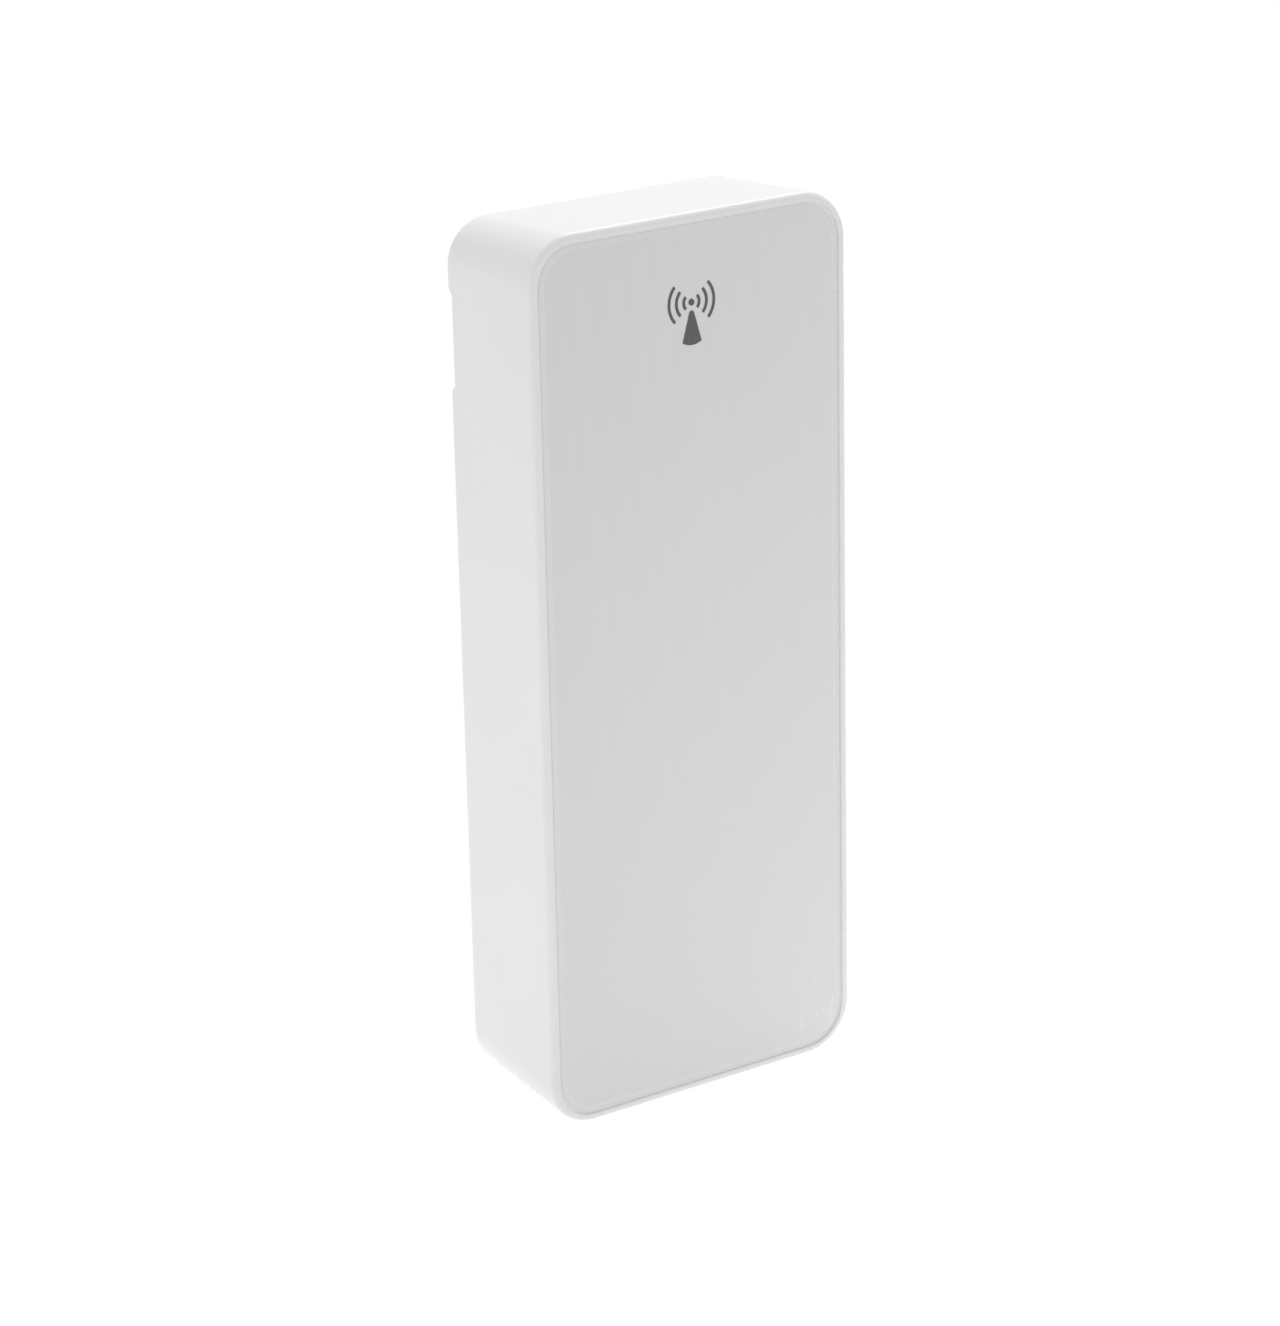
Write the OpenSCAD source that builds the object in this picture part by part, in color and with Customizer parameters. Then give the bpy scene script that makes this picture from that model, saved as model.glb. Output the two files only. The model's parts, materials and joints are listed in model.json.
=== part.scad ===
// Wireless temperature sensor: an upright case with a bezel and a flat front panel, closed at
// the back by a cover that holds two cells behind a sliding door, with a radio board inside.
// X runs along the width, the panel faces -Y, +Z is up, and the origin is the middle of the base.

/* [Body] */
// Overall width at the bezel
body_w = 40.5; // [40:0.5:60]
// Overall height from the feet to the top of the bezel
body_h = 100; // [99:1:130]
// Overall depth from the bezel to the back
body_d = 17.8; // [17.6:0.2:26]
// Corner radius of the bezel, seen from the front
corner_r = 5.9; // [4.9:0.1:7]
// Corner radius of the back, seen from behind
rear_corner_r = 4.8; // [4.1:0.1:5]
// How far each side draws in towards the back
side_draft = 1; // [0:0.1:1.2]
// How far the top slopes down towards the back
top_draft = 1.4; // [0:0.1:1.6]
// How far the base rises towards the back
base_draft = 1.5; // [0:0.1:1.8]
// Thickness of the side walls
wall = 2.2; // [1.8:0.1:2.4]
// Thickness of the wall behind the panel
front_wall = 1.4; // [1.2:0.1:1.6]
// Rounding of the bezel's outer edge
front_edge_r = 0.5; // [0.4:0.1:1]
// Rounding of the rear edge
rear_edge_r = 1; // [0.4:0.1:1.2]
// Radius of each foot
foot_r = 1.8; // [1.2:0.1:2]
// How far the feet stand below the front of the base
foot_proud = 0.2; // [0.1:0.1:0.6]

/* [Front panel] */
// Width of the bezel's flat rim round the panel
bezel_w = 1; // [0.9:0.1:2]
// Width of the groove between the bezel and the panel
panel_gap = 0.35; // [0.1:0.05:0.4]
// Thickness of the panel
panel_t = 1; // [0.8:0.1:1.1]
// How far the panel's face lies behind the bezel
panel_setback = 0.1; // [0.08:0.01:0.2]
// Thickness of the adhesive sheet behind the panel
adhesive_t = 0.15; // [0.1:0.05:0.3]
// Distance from the panel's edge to the adhesive's edge
adhesive_inset = 1; // [0.5:0.1:2]

/* [Pictogram] */
// Distance from the top of the bezel down to the pictogram's dot
dot_drop = 9.8; // [8:0.1:11]
// Radius of the dot
dot_r = 0.36; // [0.3:0.01:0.5]
// Radius of the innermost wave, along its middle
wave_r = 0.98; // [0.9:0.02:1.2]
// Distance from one wave to the next
wave_step = 0.94; // [0.7:0.02:1.2]
// Width of each wave's line
wave_w = 0.31; // [0.2:0.01:0.4]
// Half the angle that each wave spans
wave_angle = 42; // [30:1:50]
// Waves on each side
wave_count = 3; // [1:1:4]
// Distance from the dot's middle down to the tip of the mast
mast_drop = 0.9; // [0.8:0.02:1.4]
// Height of the mast
mast_h = 3.7; // [3:0.1:5]
// Radius of the mast's rounded tip
mast_tip_r = 0.3; // [0.2:0.02:0.5]
// Width of the mast at its foot
mast_w = 2.4; // [2:0.02:3]
// How far the foot of the mast bulges down
mast_sag = 0.34; // [0.2:0.01:0.6]
// Thickness of the printed ink
ink_t = 0.06; // [0.04:0.01:0.07]

/* [Rear cover] */
// Thickness of the cover's plate
cover_t = 1.6; // [1.5:0.1:1.8]
// Width of the housing's rim round the cover, at the back
rim_w = 1.4; // [1.3:0.1:1.5]
// Gap between the rim and the cover
cover_gap = 0.15; // [0.1:0.05:0.25]
// Thickness of the bay's and the recess's walls
tub_wall = 1.2; // [1:0.1:1.3]
// Height of the bay's lower end above the inside of the base
bay_rise = 3.3; // [2.6:0.1:3.6]
// Depth of the recess's floor
deck_t = 1.2; // [1:0.1:1.4]
// Distance from the controls' middle to the top of their recess
deck_reach = 6.2; // [5:0.1:6.6]

/* [Hanging channel] */
// Depth of the channel across the back
channel_d = 1.4; // [0.5:0.1:1.5]
// Distance from the top of the bezel to the channel's upper ramp
channel_drop = 8; // [7.8:0.1:9]
// Height of the channel with both ramps
channel_h = 12.3; // [12:0.1:13]
// Height of each ramp
ramp_h = 1.2; // [0.8:0.1:1.2]
// Wall behind the channel's floor
channel_wall = 1.6; // [1.2:0.1:1.8]
// Radius of the hanger hole's wide entry
hanger_r = 3.2; // [2.6:0.1:3.3]
// Radius of the hanger hole's slot
hanger_slot_r = 1.6; // [1.2:0.1:1.7]
// Distance from the entry's middle up to the slot's end
hanger_rise = 4.6; // [4:0.1:4.7]
// Free depth behind the hanger hole for a screw's head
hanger_depth = 3.4; // [2.8:0.1:3.6]
// Thickness of the pocket's walls behind the hanger hole
pocket_wall = 1; // [0.8:0.1:1.1]
// Vent slots on each side
vent_count = 3; // [1:1:3]
// Width of each vent slot
vent_w = 1.2; // [0.8:0.1:1.4]
// Height of each vent slot
vent_h = 7; // [4:0.5:8]
// Distance from one vent slot to the next
vent_pitch = 2.4; // [2:0.1:2.5]
// Distance from the middle to the first vent slot
vent_x = 8.4; // [7:0.1:8.8]

/* [Battery door] */
// Gap on each side of the door
door_gap = 0.2; // [0.15:0.05:0.3]
// Width of the tongues along the door's sides
tongue_w = 0.8; // [0.6:0.1:0.9]
// Thickness of the tongues
tongue_t = 0.7; // [0.5:0.1:0.9]
// Gap round the tongues, front and back
tongue_gap = 0.15; // [0.1:0.05:0.25]
// Grooves of the thumb grip
grip_count = 5; // [3:1:6]
// Distance from one grip groove to the next
grip_pitch = 1.8; // [1.4:0.1:2]
// Width of each grip groove
grip_groove = 0.8; // [0.5:0.1:1]
// Length of each grip groove
grip_w = 13; // [8:0.5:16]
// Depth of the grip grooves and the arrow
grip_d = 0.4; // [0.2:0.1:0.6]
// Height of the lowest grip groove above the base
grip_z = 8; // [6:0.5:12]
// Width of the arrow above the grip
arrow_w = 5; // [3:0.5:8]

/* [Cells and contacts] */
// Radius of each cell
cell_r = 5.25; // [5.15:0.05:5.3]
// Length of each cell with its nub
cell_len = 44.5; // [44:0.1:44.6]
// Height of each cell's nub
nub_h = 1; // [0.8:0.1:1.2]
// Radius of each cell's nub
nub_r = 1.9; // [1.6:0.1:2.2]
// Free space round each cell
cell_gap = 0.3; // [0.25:0.05:0.35]
// Thickness of the contact plates
contact_t = 0.4; // [0.3:0.05:0.5]
// Width of the contact plates
contact_w = 8.4; // [7:0.1:9]
// Width of the tabs that reach the board
tab_w = 2; // [1.4:0.1:2.6]
// Height of the dimple that meets a nub
dimple_h = 0.5; // [0.3:0.1:0.8]
// Radius of that dimple
dimple_r = 1.5; // [1:0.1:1.8]
// Compressed height of each contact spring
spring_h = 3.2; // [3:0.1:4]
// Radius of each spring's wire
spring_wire_r = 0.2; // [0.15:0.01:0.22]
// Radius of each spring at its wide end
spring_base_r = 3.4; // [3:0.1:3.8]
// Radius of each spring at its narrow end
spring_tip_r = 1.7; // [1.4:0.1:2]
// Curls of each spring
spring_curls = 3; // [2:1:3]

/* [Board and controls] */
// Thickness of the circuit board
board_t = 1.2; // [1:0.1:1.6]
// Distance from the front wall to the board
board_standoff = 2.85; // [2.6:0.05:3]
// Radius of the bosses that carry the board
board_boss_r = 2; // [1.6:0.1:2.2]
// Gap between the board and the housing's sides
board_gap = 1.5; // [1.2:0.1:2]
// Gap between the bay's upper end and the board
board_clear = 1; // [0.8:0.1:1.5]
// Height of the controls' middle above the board's lower edge
control_rise = 5.9; // [5.6:0.1:6.2]
// Distance from the middle to the transmit switch
button_x = 5.5; // [4.6:0.1:6.5]
// Side of the transmit switch's body
switch_w = 6; // [5:0.1:6.2]
// Height of both switches' bodies above the board
switch_h = 3.4; // [3:0.1:3.6]
// Radius of the transmit button
button_r = 1.65; // [1.2:0.05:1.8]
// How far the transmit button travels
button_travel = 0.3; // [0.2:0.05:0.4]
// How far the button and the knob stand above the recess's floor
control_proud = 1.2; // [0.8:0.1:1.8]
// Running clearance round the button's stem
stem_clearance = 0.06; // [0.03:0.01:0.1]
// Distance from the middle to the channel switch
knob_x = 5.3; // [5.2:0.1:6]
// Length of the channel switch's body
slider_w = 9.2; // [8.6:0.1:9.6]
// Depth of the channel switch's body, up and down
slider_h = 4; // [3.6:0.1:5]
// Side of the channel knob
knob_w = 1.6; // [1.2:0.1:1.8]
// How far the channel knob slides to each side
knob_travel = 2; // [1:0.1:2]
// Gap round the button and the knob in the recess's floor
control_gap = 0.4; // [0.3:0.05:0.5]
// Gap between the switches and the recess's floor
deck_gap = 0.4; // [0.3:0.1:0.8]

/* [Board parts] */
// Radius of the indicator
led_r = 1.5; // [1:0.1:1.5]
// Gap round the indicator in the front wall
led_gap = 0.5; // [0.3:0.05:0.6]
// Radius of the leads
lead_r = 0.22; // [0.15:0.01:0.25]
// Distance between a pair of leads
lead_pitch = 2.54; // [2:0.02:2.6]
// Side of the controller chip
chip_w = 7; // [5:0.1:7.4]
// Height of the controller chip
chip_h = 1.4; // [1:0.1:1.6]
// Leads on each side of the controller chip
chip_legs = 8; // [4:1:8]
// Radius of the capacitor
capacitor_r = 2.5; // [2:0.1:2.6]
// Height of the capacitor
capacitor_h = 5.6; // [4:0.1:6]
// Length of the crystal can
crystal_w = 8; // [6:0.1:8.4]
// Width of the crystal can
crystal_d = 3.8; // [3:0.1:4]
// Height of the crystal can
crystal_h = 3.2; // [2.5:0.1:3.5]
// Width of the radio shield can
shield_w = 9; // [7:0.1:9.4]
// Height of the radio shield can, up and down
shield_l = 7; // [5:0.1:7.4]
// Depth of the radio shield can
shield_h = 2.2; // [1.8:0.1:2.6]
// Wall of the radio shield can
shield_wall = 0.25; // [0.15:0.05:0.4]
// Radius of the antenna coil, along its middle
antenna_r = 1.9; // [1.6:0.1:2]
// Radius of the antenna's wire
antenna_wire_r = 0.3; // [0.2:0.02:0.35]
// Turns of the antenna coil
antenna_turns = 8; // [4:1:8]
// Distance from one turn of the antenna to the next
antenna_pitch = 1.2; // [1.1:0.05:1.25]
// Radius of the thermistor's bead
bead_r = 1.1; // [0.8:0.1:1.2]
// Height of the bead's middle above the board
bead_h = 5.6; // [4:0.1:6]

/* [Screws] */
// Radius of the bosses that take the cover's screws
boss_r = 2; // [1.8:0.05:2.05]
// Radius of the cover's screws
cover_screw_r = 0.8; // [0.7:0.05:0.85]
// Length of the cover's screws below their heads
cover_screw_len = 8; // [6:0.5:10]
// Radius of the heads of the cover's screws
cover_head_r = 1.8; // [1.6:0.05:1.85]
// Depth of the counterbores of the cover's screws
counterbore_d = 1; // [0.8:0.05:1.1]
// Radius of the board's screws
board_screw_r = 0.7; // [0.6:0.05:0.75]
// Length of the board's screws below their heads
board_screw_len = 3.2; // [2.6:0.1:3.4]
// Radius of the heads of the board's screws
board_head_r = 1.5; // [1.2:0.05:1.6]
// Height of the screws' heads
head_h = 0.85; // [0.6:0.05:0.85]
// Clearance between a screw and the walls of its hole
screw_clearance = 0.05; // [0.03:0.01:0.1]

/* [Hidden] */

// One overrun serves every cut
overrun = 0.5;
// Steps of each rounded corner and each rounded edge of the case
corner_steps = 8;
edge_steps = 4;
// Faces of a true circle
round_faces = 48;
// Rings of one turn and sides of a wire
turn_rings = 8;
wire_sides = 6;

// Places through the depth, from the panel to the back
front_y = -body_d / 2;
rear_y = body_d / 2;
panel_y = front_y + panel_setback;
recess_y = panel_y + panel_t + adhesive_t;
inner_y = recess_y + front_wall;
board_y = inner_y + board_standoff;
parts_y = board_y + board_t;
cover_y = rear_y - cover_t;
channel_y = rear_y - channel_d;
pocket_y = channel_y - channel_wall;
deck_y = parts_y + switch_h + deck_gap;
control_y = deck_y + deck_t + control_proud;
cell_y = cover_y - cell_gap - cell_r;
bay_y = cell_y - cell_r - cell_gap;
tongue_y = cover_y + tongue_t + tongue_gap;
rail_y = cover_y - tongue_gap;

// Section of the case at a depth, drawn in all round by an inset
function depth_share(y) = (y - front_y) / body_d;
function half_w(y, inset) = body_w / 2 - side_draft * depth_share(y) - inset;
function low_z(y, inset) = foot_proud + base_draft * depth_share(y) + inset;
function high_z(y, inset) = body_h - top_draft * depth_share(y) - inset;
function section_r(y, inset) =
    corner_r + (rear_corner_r - corner_r) * depth_share(y) - inset;

// Cells and bay
cell_x = cell_r + cell_gap;
bay_x = cell_x + cell_r + cell_gap;
bay_z = low_z(rear_y, wall) + bay_rise;
bay_h = 2 * contact_t + dimple_h + cell_len + spring_h;
bay_top = bay_z + bay_h;
cell_low_z = bay_z + contact_t;

// Door
door_x = bay_x + tub_wall / 2;
tongue_x = door_x + tongue_w;
rail_x = bay_x + 2 * tub_wall;
tongue_z = low_z(rear_y, rim_w);

// Board and the places on it
board_x = half_w(board_y, wall) - board_gap;
board_z = bay_top + tub_wall + board_clear;
board_top = high_z(board_y, wall) - board_gap;
tab_low_y = min(parts_y, bay_y);
control_z = board_z + control_rise;
deck_top = control_z + deck_reach;
door_top = deck_top + tub_wall - door_gap;
parts_row_z = deck_top + tub_wall + capacitor_r + board_clear / 2;
board_screw_x = board_x - board_boss_r;
led_z = body_h - dot_drop;
chip_z = led_z - board_clear - chip_w / 2 - lead_pitch / 2;
crystal_x = board_screw_x - board_boss_r - crystal_w / 2;
capacitor_x = board_screw_x - board_boss_r - capacitor_r;
shield_x = capacitor_x - capacitor_r - board_clear - shield_w / 2;
side_part_x = board_x - antenna_r - 2 * antenna_wire_r - board_clear;
antenna_z = parts_row_z + board_boss_r + board_clear;
thermistor_z = led_z - lead_pitch;

// Channel across the back and the hanger hole in it
channel_top = body_h - channel_drop;
channel_low = channel_top - channel_h;
hanger_z = channel_low + ramp_h + hanger_r + cover_gap;
hanger_top = hanger_z + hanger_rise;
pocket_x = hanger_r + hanger_slot_r / 2;
pocket_top = hanger_top + hanger_r;
vent_z = (channel_low + channel_top) / 2;

// Cover screws sit in the corners of the case
screw_side_inset = boss_r;
screw_end_inset = boss_r + rim_w / 3;
screw_x = half_w(rear_y, wall) - screw_side_inset;
screw_zs = [
    low_z(rear_y, wall) + screw_end_inset,
    high_z(rear_y, wall) - screw_end_inset
];
counterbore_r = cover_head_r + cover_gap;
pilot_end_y = rear_y - counterbore_d - cover_screw_len - screw_clearance;

// Feet
foot_x = bay_x;
foot_front_y = inner_y;
foot_rear_y = rail_y - foot_r - cover_gap;

// Sides of a wire are set by the direction away from its coil's middle
function unit(v) = v / norm(v);
function tangent(path, i) =
    unit(path[min(i + 1, len(path) - 1)][0] - path[max(i - 1, 0)][0]);
function across(path, i) =
    unit(path[i][1] - (path[i][1] * tangent(path, i)) * tangent(path, i));
function wire_ring(path, i, r) = [
    for (k = [0 : wire_sides - 1])
        let (a = 360 * k / wire_sides, u = across(path, i), v = cross(tangent(path, i), u))
            path[i][0] + r * (u * cos(a) + v * sin(a))
];
// Least free space between two turns of a wound wire
function self_gap(path, r) = min([
    for (i = [0 : len(path) - 1])
        for (j = [i + turn_rings / 2 + 1 : 1 : len(path) - 1])
            norm(path[i][0] - path[j][0]) - 2 * r
]);

// Conical spring on a seat: straight ends, then curls that narrow towards the tip
function spring_path(r, side) =
    let (
        stub = 2 * r,
        n = spring_curls * turn_rings,
        curl = [
            for (i = [0 : n])
                let (
                    a = 360 * i / turn_rings,
                    radius = spring_base_r + (spring_tip_r - spring_base_r) * i / n,
                    z = stub + (spring_h - 2 * stub) * i / n
                )
                    [[radius * cos(a), radius * sin(a), side * z], [cos(a), sin(a), 0]]
        ]
    )
        concat(
            [[[spring_base_r, 0, -side * contact_t / 2], [1, 0, 0]]],
            curl,
            [[[spring_tip_r, 0, side * spring_h], [1, 0, 0]]]
        );

// Antenna: straight lead from the board, coil about an upright axis, straight end
function antenna_point(i) =
    let (a = 180 - 360 * i / turn_rings)
        [
            [antenna_r * cos(a), antenna_r * sin(a), antenna_pitch * i / turn_rings],
            [cos(a), sin(a), 0]
        ];
function antenna_path(lead) =
    let (
        n = antenna_turns * turn_rings,
        coil = [for (i = [0 : n]) antenna_point(i)],
        run = 2 * antenna_wire_r
    )
        concat(
            [[[-antenna_r, -lead, 0], [-1, 0, 0]]],
            coil,
            [[coil[n][0] + [0, run, 0], coil[n][1]]]
        );

spring_curve = spring_path(spring_wire_r, 1);
antenna_lead = antenna_r + 2 * antenna_wire_r;
antenna_curve = antenna_path(antenna_lead);
echo(contact_spring_self_gap = self_gap(spring_curve, spring_wire_r));
echo(antenna_self_gap = self_gap(antenna_curve, antenna_wire_r));

// Unbroken wire along a path of places, each with its direction away from the coil
module wire(path, r) {
    n = len(path);
    points = [for (i = [0 : n - 1]) each wire_ring(path, i, r)];
    sides = [
        for (i = [0 : n - 2])
            for (k = [0 : wire_sides - 1])
                let (
                    a = i * wire_sides + k,
                    b = i * wire_sides + (k + 1) % wire_sides,
                    c = a + wire_sides,
                    d = b + wire_sides
                )
                    each [[a, c, b], [b, c, d]]
    ];
    last = (n - 1) * wire_sides;
    ends = [
        for (k = [1 : wire_sides - 2])
            each [[0, k, k + 1], [last, last + k + 1, last + k]]
    ];
    polyhedron(points = points, faces = concat(sides, ends));
}

// Rounded outline of the case at one depth, as points in space
function ring(y, inset) =
    let (
        r = section_r(y, inset),
        cx = half_w(y, inset) - r,
        low = low_z(y, inset) + r,
        high = high_z(y, inset) - r,
        corners = [[cx, high, 0], [-cx, high, 90], [-cx, low, 180], [cx, low, 270]]
    )
        [
            for (c = corners)
                for (i = [0 : corner_steps])
                    let (a = c[2] + 90 * i / corner_steps)
                        [c[0] + r * cos(a), y, c[1] + r * sin(a)]
        ];

// Solid through a list of sections, each a depth and an inset
module case_solid(sections) {
    per_ring = 4 * (corner_steps + 1);
    n = len(sections);
    points = [for (s = sections) each ring(s[0], s[1])];
    sides = [
        for (i = [0 : n - 2])
            for (k = [0 : per_ring - 1])
                let (
                    a = i * per_ring + k,
                    b = i * per_ring + (k + 1) % per_ring,
                    c = a + per_ring,
                    d = b + per_ring
                )
                    each [[a, b, c], [b, d, c]]
    ];
    last = (n - 1) * per_ring;
    ends = [
        for (k = [1 : per_ring - 2])
            each [[0, k + 1, k], [last, last + k, last + k + 1]]
    ];
    polyhedron(points = points, faces = concat(sides, ends));
}

outer_sections = concat(
    [
        for (i = [0 : edge_steps])
            let (a = 90 * i / edge_steps)
                [front_y + front_edge_r * (1 - cos(a)), front_edge_r * (1 - sin(a))]
    ],
    [
        for (i = [edge_steps : -1 : 0])
            let (a = 90 * i / edge_steps)
                [rear_y - rear_edge_r * (1 - cos(a)), rear_edge_r * (1 - sin(a))]
    ]
);
inner_sections = [[inner_y, wall], [rear_y + overrun, wall]];

// Plate between two depths, from an outline drawn as width and height
module plate(y0, y1) {
    translate([0, y1, 0])
        rotate([90, 0, 0])
            linear_extrude(y1 - y0)
                children();
}

// Box from one corner to the opposite one
module box(low, high) {
    translate(low)
        cube(high - low);
}

// Box that is even about the middle plane
module centred_box(half, y0, y1, z0, z1) {
    box([-half, y0, z0], [half, y1, z1]);
}

// Rod along the depth
module rod(x, z, r, y0, y1) {
    translate([x, y1, z])
        rotate([90, 0, 0])
            cylinder(r = r, h = y1 - y0, $fn = round_faces);
}

module round_rect(half, low, high, r) {
    translate([-half + r, low])
        square([2 * (half - r), high - low]);
    translate([-half, low + r])
        square([2 * half, high - low - 2 * r]);
    for (x = [-half + r, half - r])
        for (z = [low + r, high - r])
            translate([x, z])
                circle(r = r, $fn = round_faces);
}

// Outline of the case at a depth, as a true rounded rectangle
module section_outline(y, inset) {
    round_rect(half_w(y, inset), low_z(y, inset), high_z(y, inset), section_r(y, inset));
}

module at_screws() {
    for (x = [-screw_x, screw_x])
        for (z = screw_zs)
            translate([x, 0, z])
                children();
}

module at_board_screws() {
    for (x = [-board_screw_x, board_screw_x])
        translate([x, 0, parts_row_z])
            children();
}

// Shallow channel right across the back, with a ramp at each end
module channel_cut() {
    half = body_w / 2 + overrun;
    reach = ramp_h * overrun / channel_d;
    translate([-half, 0, 0])
        rotate([90, 0, 90])
            linear_extrude(2 * half)
                polygon([
                    [channel_y, channel_low + ramp_h],
                    [rear_y + overrun, channel_low - reach],
                    [rear_y + overrun, channel_top + reach],
                    [channel_y, channel_top - ramp_h]
                ]);
}

module screw(head_r, r, length, seat_y) {
    slot_w = head_r / 4;
    slot_l = head_r + slot_w;
    difference() {
        union() {
            rod(0, 0, head_r, seat_y, seat_y + head_h);
            rod(0, 0, r, seat_y - length, seat_y);
        }
        for (turn = [0, 90])
            rotate([0, turn, 0])
                box([-slot_l / 2, seat_y + head_h / 2, -slot_w / 2],
                    [slot_l / 2, seat_y + head_h + overrun, slot_w / 2]);
    }
}

module front_housing() {
    color("white")
        difference() {
            union() {
                difference() {
                    case_solid(outer_sections);
                    case_solid(inner_sections);
                    plate(front_y - overrun, recess_y)
                        section_outline(front_y, bezel_w);
                    plate(cover_y, rear_y + overrun)
                        section_outline(rear_y, rim_w);
                    door_opening();
                    channel_cut();
                }
                cover_bosses();
                at_board_screws()
                    rod(0, 0, board_boss_r, inner_y - front_wall / 2, board_y);
                feet();
            }
            at_screws()
                rod(0, 0, cover_screw_r + screw_clearance, pilot_end_y, cover_y + overrun);
            at_board_screws()
                rod(0, 0, board_screw_r + screw_clearance, inner_y, board_y + overrun);
            rod(0, led_z, led_r + led_gap, recess_y - overrun, inner_y + overrun);
        }
}

// Posts for the cover's screws, each joined to the side wall next to it
module cover_bosses() {
    for (side = [-1, 1])
        for (z = screw_zs) {
            rod(side * screw_x, z, boss_r, inner_y - front_wall / 2, cover_y);
            mid = side * (screw_x + (boss_r + wall / 2) / 2);
            translate([mid, (inner_y - front_wall / 2 + cover_y) / 2, z])
                cube([boss_r + wall / 2, cover_y - inner_y + front_wall / 2, boss_r], center = true);
        }
}

// Feet that level the sloping base
module feet() {
    for (x = [-foot_x, foot_x])
        for (y = [foot_front_y, foot_rear_y])
            translate([x, y, 0])
                cylinder(r = foot_r, h = low_z(y, wall / 2), $fn = round_faces);
}

module front_panel() {
    color("silver")
        plate(panel_y, panel_y + panel_t)
            section_outline(front_y, bezel_w + panel_gap);
}

module panel_adhesive() {
    color("gainsboro")
        difference() {
            plate(panel_y + panel_t, recess_y)
                section_outline(front_y, bezel_w + panel_gap + adhesive_inset);
            rod(0, led_z, led_r + led_gap, panel_y, recess_y + overrun);
        }
}

// Printed figure: a dot, waves on both sides of it and a mast below
module panel_pictogram() {
    color("dimgray") {
        rod(0, led_z, dot_r, panel_y - ink_t, panel_y);
        for (i = [0 : wave_count - 1])
            for (side = [0, 180])
                translate([0, panel_y, led_z])
                    rotate([90, side + wave_angle, 0])
                        wave(wave_r + i * wave_step);
        plate(panel_y - ink_t, panel_y)
            translate([0, led_z])
                mast();
    }
}

module wave(r) {
    rotate_extrude(angle = 2 * wave_angle, $fn = round_faces)
        translate([r - wave_w / 2, 0])
            square([wave_w, ink_t]);
}

// Mast with a round tip, straight flanks and a foot that bulges down in an arc
module mast() {
    tip_z = -mast_drop - mast_tip_r;
    foot_z = -mast_drop - mast_h + mast_sag;
    half = mast_w / 2;
    foot_arc_r = (half * half + mast_sag * mast_sag) / (2 * mast_sag);
    span = asin(half / foot_arc_r);
    arc_steps = 8;
    lean = atan((half - mast_tip_r) / (tip_z - foot_z));
    tip = [
        for (i = [0 : arc_steps])
            let (a = lean + (180 - 2 * lean) * i / arc_steps)
                [mast_tip_r * cos(a), tip_z + mast_tip_r * sin(a)]
    ];
    foot = [
        for (i = [0 : arc_steps])
            let (a = -span + 2 * span * i / arc_steps)
                [foot_arc_r * sin(a), foot_z - mast_sag + foot_arc_r * (1 - cos(a))]
    ];
    polygon(concat(tip, foot));
}

module rear_cover() {
    color("whitesmoke")
        difference() {
            union() {
                plate(cover_y, rear_y)
                    section_outline(rear_y, rim_w + cover_gap);
                channel_pad();
                tub();
                rails();
                hanger_pocket();
            }
            bay_space();
            recess_space();
            door_opening();
            channel_cut();
            hanger_hole();
            vents();
            control_holes();
            contact_slots();
            at_screws() {
                rod(0, 0, cover_screw_r + cover_gap, cover_y - overrun, rear_y + overrun);
                rod(0, 0, counterbore_r, rear_y - counterbore_d, rear_y + overrun);
            }
        }
}

// Thicker wall behind the channel
module channel_pad() {
    half = half_w(rear_y, wall) - cover_gap;
    pad_top = screw_zs[1] - boss_r - door_gap;
    centred_box(half, pocket_y, cover_y + cover_t / 2, channel_low, pad_top);
}

// Outside of the battery bay and of the control recess above it
module tub() {
    half = bay_x + tub_wall;
    centred_box(half, bay_y - tub_wall, rail_y, bay_z - tub_wall, bay_top + tub_wall);
    centred_box(half, deck_y, rail_y, bay_top, deck_top + tub_wall);
    centred_box(half, rail_y - tub_wall, cover_y + cover_t / 2, deck_top, deck_top + tub_wall);
}

// Shoulders that carry the tub on the plate and guide the door's tongues
module rails() {
    rail_low = screw_zs[0] + boss_r + door_gap;
    for (side = [-1, 1])
        translate([side * (bay_x + rail_x) / 2, rail_y - tub_wall / 2, 0])
            centred_box((rail_x - bay_x) / 2, -tub_wall / 2, 0, rail_low, deck_top + tub_wall);
    for (side = [-1, 1])
        translate([side * (tongue_x + door_gap + rail_x) / 2, 0, 0])
            centred_box((rail_x - tongue_x - door_gap) / 2, rail_y - tub_wall / 2,
                cover_y + cover_t / 2, rail_low, deck_top + tub_wall);
}

module hanger_pocket() {
    half = pocket_x + pocket_wall;
    centred_box(half, pocket_y - hanger_depth - pocket_wall, cover_y + cover_t / 2,
        hanger_z - hanger_r - pocket_wall, pocket_top + pocket_wall);
}

module bay_space() {
    centred_box(bay_x, bay_y, rear_y, bay_z, bay_top);
}

module recess_space() {
    centred_box(bay_x, deck_y + deck_t, rear_y, bay_top + tub_wall, deck_top);
}

// Way of the door and of its tongues, open at the lower edge
module door_opening() {
    centred_box(door_x + door_gap, tongue_y - overrun, rear_y + overrun, -overrun, door_top + door_gap);
    centred_box(tongue_x + door_gap, rail_y, tongue_y, -overrun, door_top + door_gap);
}

// Keyhole: wide entry, narrow slot above it, and a pocket behind
module hanger_hole() {
    rod(0, hanger_z, hanger_r, pocket_y - overrun, rear_y + overrun);
    rod(0, hanger_top, hanger_slot_r, pocket_y - overrun, rear_y + overrun);
    centred_box(hanger_slot_r, pocket_y - overrun, rear_y + overrun, hanger_z, hanger_top);
    centred_box(pocket_x, pocket_y - hanger_depth, pocket_y, hanger_z - hanger_r, pocket_top);
}

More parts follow.
